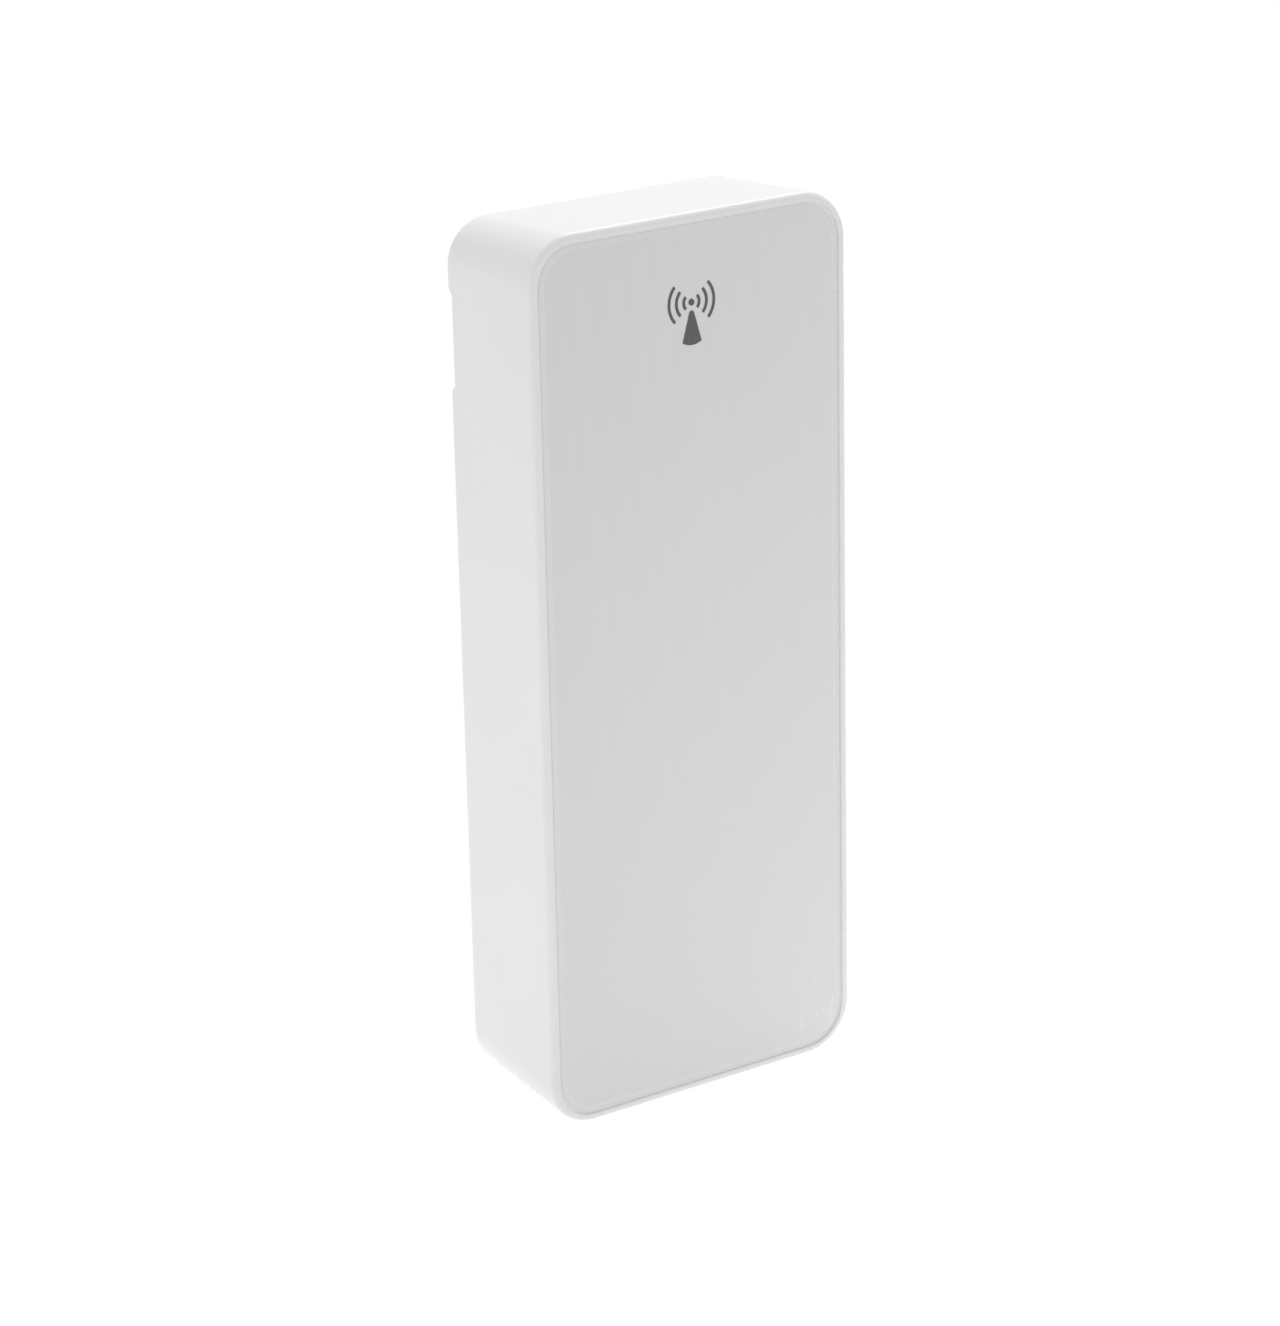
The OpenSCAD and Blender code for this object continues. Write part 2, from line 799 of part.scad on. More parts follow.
module vents() {
    for (side = [-1, 1])
        for (i = [0 : vent_count - 1])
            translate([side * (vent_x + i * vent_pitch), 0, 0])
                centred_box(vent_w / 2, pocket_y - overrun, rear_y + overrun,
                    vent_z - vent_h / 2, vent_z + vent_h / 2);
}

module control_holes() {
    y0 = deck_y - overrun;
    y1 = deck_y + deck_t + overrun;
    rod(-button_x, control_z, button_r + control_gap, y0, y1);
    translate([knob_x, 0, control_z])
        centred_box(knob_w / 2 + knob_travel + control_gap, y0, y1,
            -knob_w / 2 - control_gap, knob_w / 2 + control_gap);
}

// Slots in the bay's upper end for the contacts' tabs, and in front of it if the board is there
module contact_slots() {
    half = tab_w / 2 + cover_gap;
    top = bay_top + tub_wall + overrun;
    for (x = [-cell_x, cell_x])
        translate([x, 0, 0]) {
            centred_box(half, parts_y - cover_gap, parts_y + contact_t + cover_gap,
                bay_top - overrun, top);
            if (tab_low_y < bay_y)
                centred_box(half, tab_low_y - cover_gap, bay_y,
                    bay_top - contact_t - cover_gap, top);
        }
}

module battery_door() {
    color("whitesmoke")
        difference() {
            union() {
                door_plate();
                centred_box(tongue_x, cover_y, cover_y + tongue_t, tongue_z, door_top);
            }
            for (i = [0 : grip_count - 1])
                centred_box(grip_w / 2, rear_y - grip_d, rear_y + overrun,
                    grip_z + i * grip_pitch, grip_z + i * grip_pitch + grip_groove);
            grip_arrow();
        }
}

// Plate whose lower end follows the rounded rear edge of the case
module door_plate() {
    edge = [
        for (i = [0 : edge_steps])
            let (
                a = 90 * i / edge_steps,
                y = rear_y - rear_edge_r * (1 - cos(a))
            )
                [y, low_z(y, rear_edge_r * (1 - sin(a)))]
    ];
    translate([-door_x, 0, 0])
        rotate([90, 0, 90])
            linear_extrude(2 * door_x)
                polygon(concat(
                    [[cover_y, door_top], [rear_y, door_top]],
                    edge,
                    [[cover_y, low_z(cover_y, 0)]]
                ));
}

// Sunk arrow that points the way the door slides
module grip_arrow() {
    foot_z = grip_z + grip_count * grip_pitch + grip_groove;
    plate(rear_y - grip_d, rear_y + overrun)
        polygon([
            [0, foot_z],
            [arrow_w / 2, foot_z + arrow_w / 2],
            [-arrow_w / 2, foot_z + arrow_w / 2]
        ]);
}

// Cell with its nub at the upper end, standing on its flat end at height zero
module cell() {
    cylinder(r = cell_r, h = cell_len - nub_h, $fn = round_faces);
    cylinder(r = nub_r, h = cell_len, $fn = round_faces);
}

module battery_left() {
    color("slategray")
        translate([-cell_x, cell_y, cell_low_z + spring_h])
            cell();
}

module battery_right() {
    color("slategray")
        translate([cell_x, cell_y, cell_low_z + dimple_h + cell_len])
            mirror([0, 0, 1])
                cell();
}

// Plate at one end of the bay, from the bay's floor to just short of the door
module contact_plate(half, z0) {
    centred_box(half, bay_y, rail_y - cell_gap, z0, z0 + contact_t);
}

// Tab from an upper contact plate through the bay's end to the board
module contact_tab() {
    centred_box(tab_w / 2, parts_y, parts_y + contact_t,
        bay_top - contact_t, board_z + tab_w);
    centred_box(tab_w / 2, tab_low_y, bay_y + contact_t, bay_top - contact_t, bay_top);
}

module dimple(z0) {
    translate([0, cell_y, z0])
        cylinder(r = dimple_r, h = dimple_h + contact_t / 2, $fn = round_faces);
}

module positive_contact() {
    color("silver")
        translate([-cell_x, 0, 0]) {
            contact_plate(contact_w / 2, bay_top - contact_t);
            contact_tab();
            dimple(bay_top - contact_t - dimple_h);
        }
}

module negative_contact() {
    color("silver")
        translate([cell_x, 0, 0]) {
            contact_plate(contact_w / 2, bay_top - contact_t);
            contact_tab();
            translate([0, cell_y, bay_top - contact_t])
                wire(spring_path(spring_wire_r, -1), spring_wire_r);
        }
}

module bridge_contact() {
    color("silver") {
        contact_plate(cell_x + contact_w / 2, bay_z);
        translate([-cell_x, cell_y, cell_low_z])
            wire(spring_curve, spring_wire_r);
        translate([cell_x, 0, 0])
            dimple(cell_low_z - contact_t / 2);
    }
}

// Board with corners cut away round the cover's bosses and holes for screws and leads
module circuit_board() {
    notch_x = screw_x - boss_r - cell_gap;
    notch_z = screw_zs[1] - boss_r - cell_gap;
    hole_r = lead_r + stem_clearance;
    y0 = board_y - overrun;
    y1 = parts_y + overrun;
    color("darkgreen")
        difference() {
            centred_box(board_x, board_y, parts_y, board_z, board_top);
            for (side = [-1, 1])
                translate([side * board_x, 0, 0])
                    centred_box(board_x - notch_x, y0, y1, notch_z, board_top + overrun);
            at_board_screws()
                rod(0, 0, board_screw_r + cover_gap, y0, y1);
            at_lead_pair(0, led_z)
                rod(0, 0, hole_r, y0, y1);
            at_lead_pair(side_part_x, thermistor_z)
                rod(0, 0, hole_r, y0, y1);
        }
}

module at_lead_pair(x, z) {
    for (side = [-1, 1])
        translate([x + side * lead_pitch / 2, 0, z])
            children();
}

module controller_chip() {
    leg_pitch = chip_w / chip_legs;
    leg_w = leg_pitch / 2;
    leg_reach = chip_w / 8;
    color("black")
        translate([0, 0, chip_z]) {
            centred_box(chip_w / 2, parts_y + chip_h / 10, parts_y + chip_h, -chip_w / 2, chip_w / 2);
            for (i = [0 : chip_legs - 1])
                translate([0, 0, -chip_w / 2 + (i + 1 / 2) * leg_pitch])
                    centred_box(chip_w / 2 + leg_reach, parts_y, parts_y + chip_h / 3,
                        -leg_w / 2, leg_w / 2);
        }
}

// Open can over the radio stage
module radio_shield() {
    color("silver")
        translate([shield_x, 0, parts_row_z])
            difference() {
                centred_box(shield_w / 2, parts_y, parts_y + shield_h, -shield_l / 2, shield_l / 2);
                centred_box(shield_w / 2 - shield_wall, parts_y - overrun,
                    parts_y + shield_h - shield_wall,
                    -shield_l / 2 + shield_wall, shield_l / 2 - shield_wall);
            }
}

module resonator() {
    half_w = crystal_d * 2 / 3;
    half_h = crystal_d / 2;
    lid_share = 0.8;
    color("gold")
        translate([side_part_x - crystal_d, 0, chip_z - half_h]) {
            centred_box(half_w, parts_y, parts_y + chip_h / 2, -half_h, half_h);
            centred_box(half_w * lid_share, parts_y, parts_y + chip_h,
                -half_h * lid_share, half_h * lid_share);
        }
}

// Flat can with rounded ends on a wider rim
module crystal_can() {
    color("silver")
        translate([-crystal_x, 0, parts_row_z]) {
            crystal_body(crystal_d / 2, crystal_h);
            crystal_body(crystal_d / 2 + shield_wall, shield_wall);
        }
}

module crystal_body(r, h) {
    reach = crystal_w / 2 - crystal_d / 2;
    for (x = [-reach, reach])
        rod(x, 0, r, parts_y, parts_y + h);
    centred_box(reach, parts_y, parts_y + h, -r, r);
}

module antenna_coil() {
    color("goldenrod")
        translate([-side_part_x, parts_y + antenna_lead, antenna_z])
            wire(antenna_curve, antenna_wire_r);
}

module thermistor() {
    color("black") {
        at_lead_pair(side_part_x, thermistor_z)
            rod(0, 0, lead_r, board_y - lead_r, parts_y + bead_h);
        translate([side_part_x, parts_y + bead_h, thermistor_z]) {
            sphere(r = bead_r, $fn = round_faces);
            centred_box(lead_pitch / 2, -lead_r, lead_r, -lead_r, lead_r);
        }
    }
}

// Can on a square base, with a groove rolled in near the base
module capacitor() {
    neck_h = capacitor_h / 6;
    base_half = capacitor_r - lead_r / 2;
    color("lightslategray")
        translate([capacitor_x, parts_y, parts_row_z]) {
            centred_box(base_half, 0, neck_h, -base_half, base_half);
            rod(0, 0, capacitor_r - lead_r, 0, 2 * neck_h);
            rod(0, 0, capacitor_r, neck_h * 3 / 2, capacitor_h);
        }
}

// Columns of chip resistors and capacitors beside the controller
module chip_components() {
    chip_l = 1.6;
    chip_d = 0.8;
    column_x = chip_w / 2 + chip_w / 8 + chip_l;
    rows = 4;
    color("saddlebrown")
        for (i = [0 : rows - 1])
            translate([-column_x, 0, chip_z + (i - rows / 2 + chip_d / 2) * 2 * chip_d])
                centred_box(chip_l / 2, parts_y, parts_y + chip_d / 2, -chip_d / 2, chip_d / 2);
}

// Round lamp on a flange, pointing at the panel, with two leads through the board
module indicator_led() {
    tip_y = recess_y + led_r / 6;
    color("red") {
        rod(0, led_z, led_r + lead_r, board_y - led_r, board_y);
        rod(0, led_z, led_r, tip_y + led_r, board_y);
        translate([0, tip_y + led_r, led_z])
            sphere(r = led_r, $fn = round_faces);
        at_lead_pair(0, led_z)
            rod(0, 0, lead_r, board_y, parts_y + 2 * lead_r);
    }
}

// Square switch body with a guide for the button and a leg at each corner
module transmit_switch() {
    half = switch_w / 2;
    leg = switch_w / 8;
    color("dimgray")
        translate([-button_x, 0, control_z])
            difference() {
                union() {
                    centred_box(half, parts_y, parts_y + switch_h, -half, half);
                    for (z = [-half + leg, half - 2 * leg])
                        centred_box(half + leg, parts_y, parts_y + leg / 2, z, z + leg);
                }
                rod(0, 0, button_r + stem_clearance, parts_y + switch_h / 2, parts_y + switch_h + overrun);
            }
}

module transmit_button() {
    color("black")
        rod(-button_x, control_z, button_r,
            parts_y + switch_h / 2 + 2 * button_travel, control_y);
}

// Long switch body with a slot that the knob runs in
module channel_switch() {
    leg = slider_h / 8;
    color("silver")
        translate([knob_x, 0, control_z])
            difference() {
                union() {
                    centred_box(slider_w / 2, parts_y, parts_y + switch_h, -slider_h / 2, slider_h / 2);
                    for (i = [-1 : 1])
                        translate([i * slider_w / 4, 0, 0])
                            centred_box(leg, parts_y, parts_y + leg, -slider_h / 2 - leg, slider_h / 2 + leg);
                }
                centred_box(knob_w / 2 + knob_travel + cover_gap, parts_y + switch_h / 2,
                    parts_y + switch_h + overrun, -knob_w / 2 - cover_gap, knob_w / 2 + cover_gap);
            }
}

module channel_knob() {
    half = knob_w / 2;
    color("black")
        translate([knob_x, 0, control_z])
            centred_box(half, parts_y + switch_h / 2 + cover_gap, control_y, -half, half);
}

module cover_screws() {
    color("lightgray")
        at_screws()
            screw(cover_head_r, cover_screw_r, cover_screw_len, rear_y - counterbore_d);
}

module board_screws() {
    color("lightgray")
        at_board_screws()
            screw(board_head_r, board_screw_r, board_screw_len, parts_y);
}

front_housing();
front_panel();
panel_adhesive();
panel_pictogram();
rear_cover();
battery_door();
battery_left();
battery_right();
positive_contact();
negative_contact();
bridge_contact();
circuit_board();
controller_chip();
radio_shield();
resonator();
crystal_can();
antenna_coil();
thermistor();
capacitor();
chip_components();
indicator_led();
transmit_switch();
transmit_button();
channel_switch();
channel_knob();
cover_screws();
board_screws();
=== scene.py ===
# %% [markdown]
# A wireless temperature sensor: an upright white case with a flat silver panel let into its front.
# The construction comes packed, at its real size, and nothing here moves it or changes its shape.
# This script gives every piece its finish, and swaps the bare solids that show for smoother ones,
# with the small roundings and markings that a moulded product has.

# %% Load the packed frame
import json
import math

import bmesh
import bpy
from mathutils import Matrix, Vector

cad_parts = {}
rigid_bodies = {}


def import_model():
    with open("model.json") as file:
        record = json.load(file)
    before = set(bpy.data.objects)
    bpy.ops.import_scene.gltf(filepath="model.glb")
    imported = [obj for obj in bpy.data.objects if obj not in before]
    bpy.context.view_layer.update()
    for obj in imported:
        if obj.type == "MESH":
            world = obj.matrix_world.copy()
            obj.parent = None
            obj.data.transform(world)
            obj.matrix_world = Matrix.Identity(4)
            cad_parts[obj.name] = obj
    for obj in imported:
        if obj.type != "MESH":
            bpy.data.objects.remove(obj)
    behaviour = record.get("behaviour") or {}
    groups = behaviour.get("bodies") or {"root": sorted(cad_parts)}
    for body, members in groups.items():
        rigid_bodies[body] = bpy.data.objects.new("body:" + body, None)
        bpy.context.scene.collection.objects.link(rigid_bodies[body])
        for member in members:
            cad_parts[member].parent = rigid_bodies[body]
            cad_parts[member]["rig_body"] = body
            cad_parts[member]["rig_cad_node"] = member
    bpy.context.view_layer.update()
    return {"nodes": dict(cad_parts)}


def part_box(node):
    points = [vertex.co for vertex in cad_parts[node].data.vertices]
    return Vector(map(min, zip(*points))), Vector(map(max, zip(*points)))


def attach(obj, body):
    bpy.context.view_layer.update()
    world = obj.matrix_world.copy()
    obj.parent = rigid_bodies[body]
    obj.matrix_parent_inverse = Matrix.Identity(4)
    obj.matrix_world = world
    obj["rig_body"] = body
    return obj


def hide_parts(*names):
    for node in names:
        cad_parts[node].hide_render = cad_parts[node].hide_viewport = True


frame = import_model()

print("pieces in the frame:", len(frame["nodes"]))

# %% [markdown]
# All sizes below are real ones in millimetres, times this unit, because Blender counts in metres.
# The case is a drafted box: it is a little narrower and lower at the back, so that it slides out
# of its mould. Three lines give its outline at any depth, and the rest is cut to that outline.

# %% Sizes of the case
mm = 0.001
front_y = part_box("front_housing")[0].y
rear_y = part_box("front_housing")[1].y
depth = rear_y - front_y
front_half = 20.08 * mm
side_draft = 0.9 * mm
front_low = 0.40 * mm
base_draft = 1.3 * mm
front_high = 99.8 * mm
top_draft = 1.25 * mm
front_corner = 5.5 * mm
rear_corner = 4.8 * mm
wall = 2.2 * mm


def outline(y, inset):
    """Half width, lower and upper edge and corner radius of the case at a depth, less an inset."""
    share = (y - front_y) / depth
    half = front_half - side_draft * share - inset
    low = front_low + base_draft * share + inset
    high = front_high - top_draft * share - inset
    corner = front_corner + (rear_corner - front_corner) * share - inset
    return half, low, high, corner


print("the back is %.1f mm wide" % (2000 * outline(rear_y, 0)[0]))

# %% [markdown]
# The photograph was taken from the left and from above, with a long lens. The camera is placed by
# its direction and its distance from a point inside the case, and turned a little about its own
# line of sight. The lens is set from its focal length in picture points, which is what a camera
# match gives, for a picture whose long side is its height.

# %% Camera
azimuth = math.radians(34.02)
elevation = math.radians(19.2)
roll = math.radians(-1.25)
aim = Vector((-1.51, 0, 48.22)) * mm
camera_distance = 457.7 * mm
focal_points = 4196.4
picture_height_points = 1326
sensor_mm = 36

sight = Vector((
    math.sin(azimuth) * math.cos(elevation),
    math.cos(azimuth) * math.cos(elevation),
    -math.sin(elevation),
))
level_right = sight.cross(Vector((0, 0, 1))).normalized()
level_up = level_right.cross(sight)
camera_right = math.cos(roll) * level_right + math.sin(roll) * level_up
camera_up = math.cos(roll) * level_up - math.sin(roll) * level_right

bpy.ops.object.camera_add()
camera = bpy.context.active_object
camera.name = "camera"
camera.matrix_world = Matrix((camera_right, camera_up, -sight)).transposed().to_4x4()
camera.location = aim - sight * camera_distance
camera.data.sensor_width = sensor_mm
camera.data.lens = focal_points * sensor_mm / picture_height_points
camera.data.clip_start = 10 * mm
camera.data.clip_end = 20
bpy.context.scene.camera = camera
print("lens %.1f mm, camera %.0f mm above the table" % (camera.data.lens, camera.location.z / mm))

# %% [markdown]
# The picture is a pale one: the light comes from everywhere, a little more from above and behind,
# and a bright table throws it back up at the case. So the world is a soft even grey, one square
# lamp hangs above, to the right and a little behind, and lights the top and the bezel's rounding,
# and a weak one stands low at the left. A third lies on the table and shines up, which makes the
# side and the panel a little lighter towards their foot. Lamps stay out of the camera's sight.

# %% A backdrop that only the camera and gloss see
scene = bpy.context.scene
scene.view_settings.view_transform = "Standard"


def white_to_camera(tree, lit, backdrop):
    """Shader that is lit as one, but looks like the backdrop to the camera and in gloss and glass."""
    path = tree.nodes.new("ShaderNodeLightPath")
    either = tree.nodes.new("ShaderNodeMath")
    either.operation = "MAXIMUM"
    tree.links.new(path.outputs["Is Glossy Ray"], either.inputs[0])
    tree.links.new(path.outputs["Is Transmission Ray"], either.inputs[1])
    seen = tree.nodes.new("ShaderNodeMath")
    seen.operation = "MAXIMUM"
    tree.links.new(path.outputs["Is Camera Ray"], seen.inputs[0])
    tree.links.new(either.outputs[0], seen.inputs[1])
    mix = tree.nodes.new("ShaderNodeMixShader")
    tree.links.new(seen.outputs[0], mix.inputs[0])
    tree.links.new(lit, mix.inputs[1])
    tree.links.new(backdrop, mix.inputs[2])
    return mix.outputs[0]


print("colours are shown as they are:", scene.view_settings.view_transform)

# %% World
world_light = 0.86
world = bpy.data.worlds.new("studio")
world.use_nodes = True
scene.world = world
tree = world.node_tree
tree.nodes.clear()
surround = tree.nodes.new("ShaderNodeBackground")
surround.inputs["Strength"].default_value = world_light
backdrop = tree.nodes.new("ShaderNodeBackground")
backdrop.inputs["Color"].default_value = (1, 1, 1, 1)
output = tree.nodes.new("ShaderNodeOutputWorld")
tree.links.new(white_to_camera(tree, surround.outputs[0], backdrop.outputs[0]), output.inputs[0])
print("world light:", world_light)

# %% Lamps


def lamp(name, place, size, watts):
    """Square soft lamp at a place, aimed at the middle of the case, with its size in metres."""
    bpy.ops.object.light_add(type="AREA", location=place)
    light = bpy.context.active_object
    light.name = name
    light.data.shape = "SQUARE"
    light.data.size = size
    light.data.energy = watts
    light.rotation_euler = (aim - Vector(place)).to_track_quat("-Z", "Y").to_euler()
    light.visible_camera = False


lamp("key_lamp", (0.30, 0.20, 0.56), 0.28, 1.45)
lamp("left_lamp", (-0.40, 0.10, 0.10), 0.30, 0.130)
lamp("table_lamp", (aim.x, 0, 0.1 * mm), 0.40, 0.145)

# %% [markdown]
# The case stands on a white table, close to its rear edge, so that the battery door can slide down
# past it, as it does over a shelf. From the camera most of the table's white is its own, and a small
# part is lit, so that it reads as the picture's white and still keeps the case's soft shadow.

# %% Table
table_size = 6
table_glow = 0.93
table_gap = 0.15 * mm
table_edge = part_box("battery_door")[0].y - table_gap
bpy.ops.mesh.primitive_plane_add(size=table_size, location=(0, table_edge - table_size / 2, 0))
table = bpy.context.active_object
table.name = "table"
sheet = bpy.data.materials.new("table_white")
sheet.use_nodes = True
tree = sheet.node_tree
tree.nodes.clear()
lit = tree.nodes.new("ShaderNodeBsdfDiffuse")
lit.inputs["Color"].default_value = (0.86, 0.86, 0.86, 1)
faint = tree.nodes.new("ShaderNodeBsdfDiffuse")
faint.inputs["Color"].default_value = (0.11, 0.11, 0.11, 1)
glow = tree.nodes.new("ShaderNodeEmission")
glow.inputs["Strength"].default_value = table_glow
both = tree.nodes.new("ShaderNodeAddShader")
tree.links.new(faint.outputs[0], both.inputs[0])
tree.links.new(glow.outputs[0], both.inputs[1])
output = tree.nodes.new("ShaderNodeOutputMaterial")
tree.links.new(white_to_camera(tree, lit.outputs[0], both.outputs[0]), output.inputs[0])
table.data.materials.append(sheet)
print("table laid, its rear edge %.2f mm behind the middle of the case" % (table_edge / mm))

# %% [markdown]
# Moulded plastic isn't one flat colour. Its tone drifts a little over centimetres, where the melt
# flowed and cooled, and its skin has a fine grain of a few tenths of a millimetre that was etched
# into the mould. Two noises make that: a slow one for the tone, and a fine one that is both bump
# and a small change in roughness. Metal is made alike, from its grain, with two near tones of its
# own colour. Coordinates are the object's own, so nothing slides in a pose.

# %% A finish and its nodes


class Finish:
    """A new material with its main shader, and short ways to add nodes to it."""

    def __init__(self, name):
        self.material = bpy.data.materials.new(name)
        self.material.use_nodes = True
        self.tree = self.material.node_tree
        self.shader = self.tree.nodes["Principled BSDF"]
        self.place = self.add("ShaderNodeTexCoord").outputs["Object"]

    def add(self, kind, **settings):
        """Adds a node and sets it."""
        node = self.tree.nodes.new(kind)
        for key, value in settings.items():
            setattr(node, key, value)
        return node

    def join(self, source, target):
        """Links an output to an input."""
        self.tree.links.new(source, target)

    def noise(self, size, detail=2.0, stretch=None):
        """Noise whose grains are about this size, from 0 to 1. A stretch pulls it out along an axis."""
        node = self.add("ShaderNodeTexNoise")
        node.inputs["Scale"].default_value = 1 / size
        node.inputs["Detail"].default_value = detail
        place = self.place
        if stretch:
            mapping = self.add("ShaderNodeMapping")
            mapping.inputs["Scale"].default_value = stretch
            self.join(place, mapping.inputs["Vector"])
            place = mapping.outputs[0]
        self.join(place, node.inputs["Vector"])
        return node.outputs["Fac"]

    def blend(self, factor, low, high):
        """Colour between two colours."""
        node = self.add("ShaderNodeMix", data_type="RGBA")
        self.join(factor, node.inputs["Factor"])
        for slot, value in (("A", low), ("B", high)):
            socket = [s for s in node.inputs if s.name == slot and s.type == "RGBA"][0]
            if isinstance(value, bpy.types.NodeSocket):
                self.join(value, socket)
            else:
                socket.default_value = (*value, 1)
        return [s for s in node.outputs if s.type == "RGBA"][0]

    def span(self, factor, low, high, start=0.0, end=1.0):
        """Number that goes from low to high while the factor goes from start to end."""
        node = self.add("ShaderNodeMapRange")
        self.join(factor, node.inputs["Value"])
        node.inputs["From Min"].default_value = start
        node.inputs["From Max"].default_value = end
        node.inputs["To Min"].default_value = low
        node.inputs["To Max"].default_value = high
        return node.outputs[0]

    def bump(self, height, deep, strength=1.0, after=None):
        """Bumps as deep as this where the height goes from 0 to 1, on top of earlier bumps."""
        node = self.add("ShaderNodeBump")
        node.inputs["Distance"].default_value = deep
        node.inputs["Strength"].default_value = strength
        self.join(height, node.inputs["Height"])
        if after:
            self.join(after, node.inputs["Normal"])
        return node.outputs[0]

    def set(self, socket, value):
        """Puts a number, a colour or another node's output on one of the shader's sockets."""
        target = self.shader.inputs[socket]
        if isinstance(value, bpy.types.NodeSocket):
            self.join(value, target)
        elif isinstance(value, tuple):
            target.default_value = (*value, 1)[:len(target.default_value)]
        else:
            target.default_value = value


print("methods of a finish:", [name for name in vars(Finish) if not name.startswith("_")])

# %% Plastic and metal


def grey(level):
    """Colour whose three parts are the same."""
    return (level, level, level)


def shade(colour, factor):
    """The colour, made darker or paler by a factor."""
    return tuple(min(1.0, c * factor) for c in colour)


def moulded(name, colour, roughness, grain=0.25 * mm, deep=0.004 * mm, drift=0.02):
    """Moulded plastic: a slow drift of tone and a fine etched grain."""
    finish = Finish(name)
    slow = finish.noise(18 * mm, 1.0)
    fine = finish.noise(grain, 3.0)
    finish.set("Base Color", finish.blend(slow, shade(colour, 1 - drift), shade(colour, 1 + drift)))
    finish.set("Roughness", finish.span(fine, roughness - 0.05, roughness + 0.05))
    finish.set("Normal", finish.bump(fine, deep))
    return finish


def metal(name, grain, tones, roughness, deep=0.004 * mm, stain=None):
    """Metal with a grain, whose tone follows the grain or stains of a size of their own."""
    finish = Finish(name)
    fine = finish.noise(*grain)
    slow = finish.noise(*stain) if stain else fine
    finish.set("Base Color", finish.blend(slow, *tones))
    finish.set("Metallic", 1.0)
    finish.set("Roughness", finish.span(fine, *roughness))
    finish.set("Normal", finish.bump(fine, deep))
    return finish


# %% [markdown]
# The case is white plastic. A little light goes into it and comes out again close by, which softens
# its shadows, so the housing has a weak subsurface part with a short reach. The cover and the door
# come from moulds with a coarser grain, and look a little duller.

# %% Finish of the white case
case_white = moulded("case_white", grey(0.86), 0.38)
case_white.set("Specular IOR Level", 0.45)
case_white.set("Subsurface Weight", 0.15)
case_white.set("Subsurface Radius", grey(1.0))
case_white.set("Subsurface Scale", 0.8 * mm)
cover_white = moulded("cover_white", grey(0.85), 0.48, grain=0.35 * mm, deep=0.010 * mm)
print("white plastics:", case_white.material.name, cover_white.material.name)

# %% [markdown]
# Every piece is made in the same way: select nothing, work on one mesh in edit mode, then apply its
# modifiers and leave its object at the origin with its place in the mesh. These helpers keep that
# order. Faces and edges are picked by a test on their place, never by their number.

# %% Selecting and settling
overrun = 0.5 * mm
merge_within = 0.001 * mm


def only(*objects):
    """Selects these objects alone, the first one active."""
    bpy.ops.object.select_all(action="DESELECT")
    for o in objects:
        o.select_set(True)
    bpy.context.view_layer.objects.active = objects[0]


def settle(piece):
    """Puts the object's place, turn and size into its mesh."""
    only(piece)
    bpy.ops.object.transform_apply(location=True, rotation=True, scale=True)
    return piece


def edit(piece):
    """Opens a piece in edit mode with nothing selected."""
    only(piece)
    bpy.ops.object.mode_set(mode="EDIT")
    bpy.ops.mesh.select_all(action="DESELECT")


def leave():
    """Goes back to object mode."""
    bpy.ops.object.mode_set(mode="OBJECT")


def face_outwards():
    """In edit mode, turns all the faces outwards, and leaves edit mode."""
    bpy.ops.mesh.select_all(action="SELECT")
    bpy.ops.mesh.normals_make_consistent(inside=False)
    leave()


def merge_points(piece):
    """Merges points that share a place, and turns the faces outwards."""
    edit(piece)
    bpy.ops.mesh.select_all(action="SELECT")
    bpy.ops.mesh.remove_doubles(threshold=merge_within)
    face_outwards()


print("points closer than %.3f mm are merged" % (merge_within / mm))

# %% Picking by place


def pick(piece, kind, wanted):
    """In edit mode, selects the faces, edges or vertices for which the test holds."""
    bpy.ops.mesh.select_mode(type={"faces": "FACE", "edges": "EDGE", "verts": "VERT"}[kind])
    mesh = bmesh.from_edit_mesh(piece.data)
    for part in getattr(mesh, kind):
        part.select_set(wanted(part))
    mesh.select_flush_mode()
    bmesh.update_edit_mesh(piece.data)


def lies_at(axis, value, slack=merge_within):
    """Test for parts of a mesh whose points all lie at a value along an axis."""
    def test(part):
        points = [part] if isinstance(part, bmesh.types.BMVert) else part.verts
        return all(abs(p.co[axis] - value) < slack for p in points)
    return test


print("axes are numbered: 0 is x, 1 is y, 2 is z")

# %% Modifiers and cuts


def modify(piece, kind, **settings):
    """Adds a modifier, sets it and applies it."""
    only(piece)
    bpy.ops.object.modifier_add(type=kind)
    modifier = piece.modifiers[-1]
    for key, value in settings.items():
        setattr(modifier, key, value)
    bpy.ops.object.modifier_apply(modifier=modifier.name)
    return piece


def combine(piece, other, operation):
    """Cuts, fuses or intersects two closed meshes, and removes the second."""
    modify(piece, "BOOLEAN", object=other, operation=operation, solver="EXACT")
    bpy.data.objects.remove(other)
    return piece


def cut(piece, tool):
    """Takes the tool's shape out of the piece."""
    return combine(piece, tool, "DIFFERENCE")


def fuse(piece, extra):
    """Makes one closed mesh of the two."""
    return combine(piece, extra, "UNION")


print("tools reach past what they cut by %.1f mm" % (overrun / mm))

# %% Blanks, roundings and finished pieces
sharp_angle = 35
fine_rounding = 0.05 * mm
small_rounding = 0.12 * mm


def block(low, high):
    """Box between two corners."""
    low, high = Vector(low), Vector(high)
    bpy.ops.mesh.primitive_cube_add(size=1, location=(low + high) / 2)
    made = bpy.context.active_object
    made.scale = high - low
    return settle(made)


def rod(x, z, radius, y0, y1, sides=64):
    """Round bar along the depth."""
    bpy.ops.mesh.primitive_cylinder_add(
        vertices=sides, radius=radius, depth=y1 - y0,
        location=(x, (y0 + y1) / 2, z), rotation=(math.pi / 2, 0, 0))
    return settle(bpy.context.active_object)


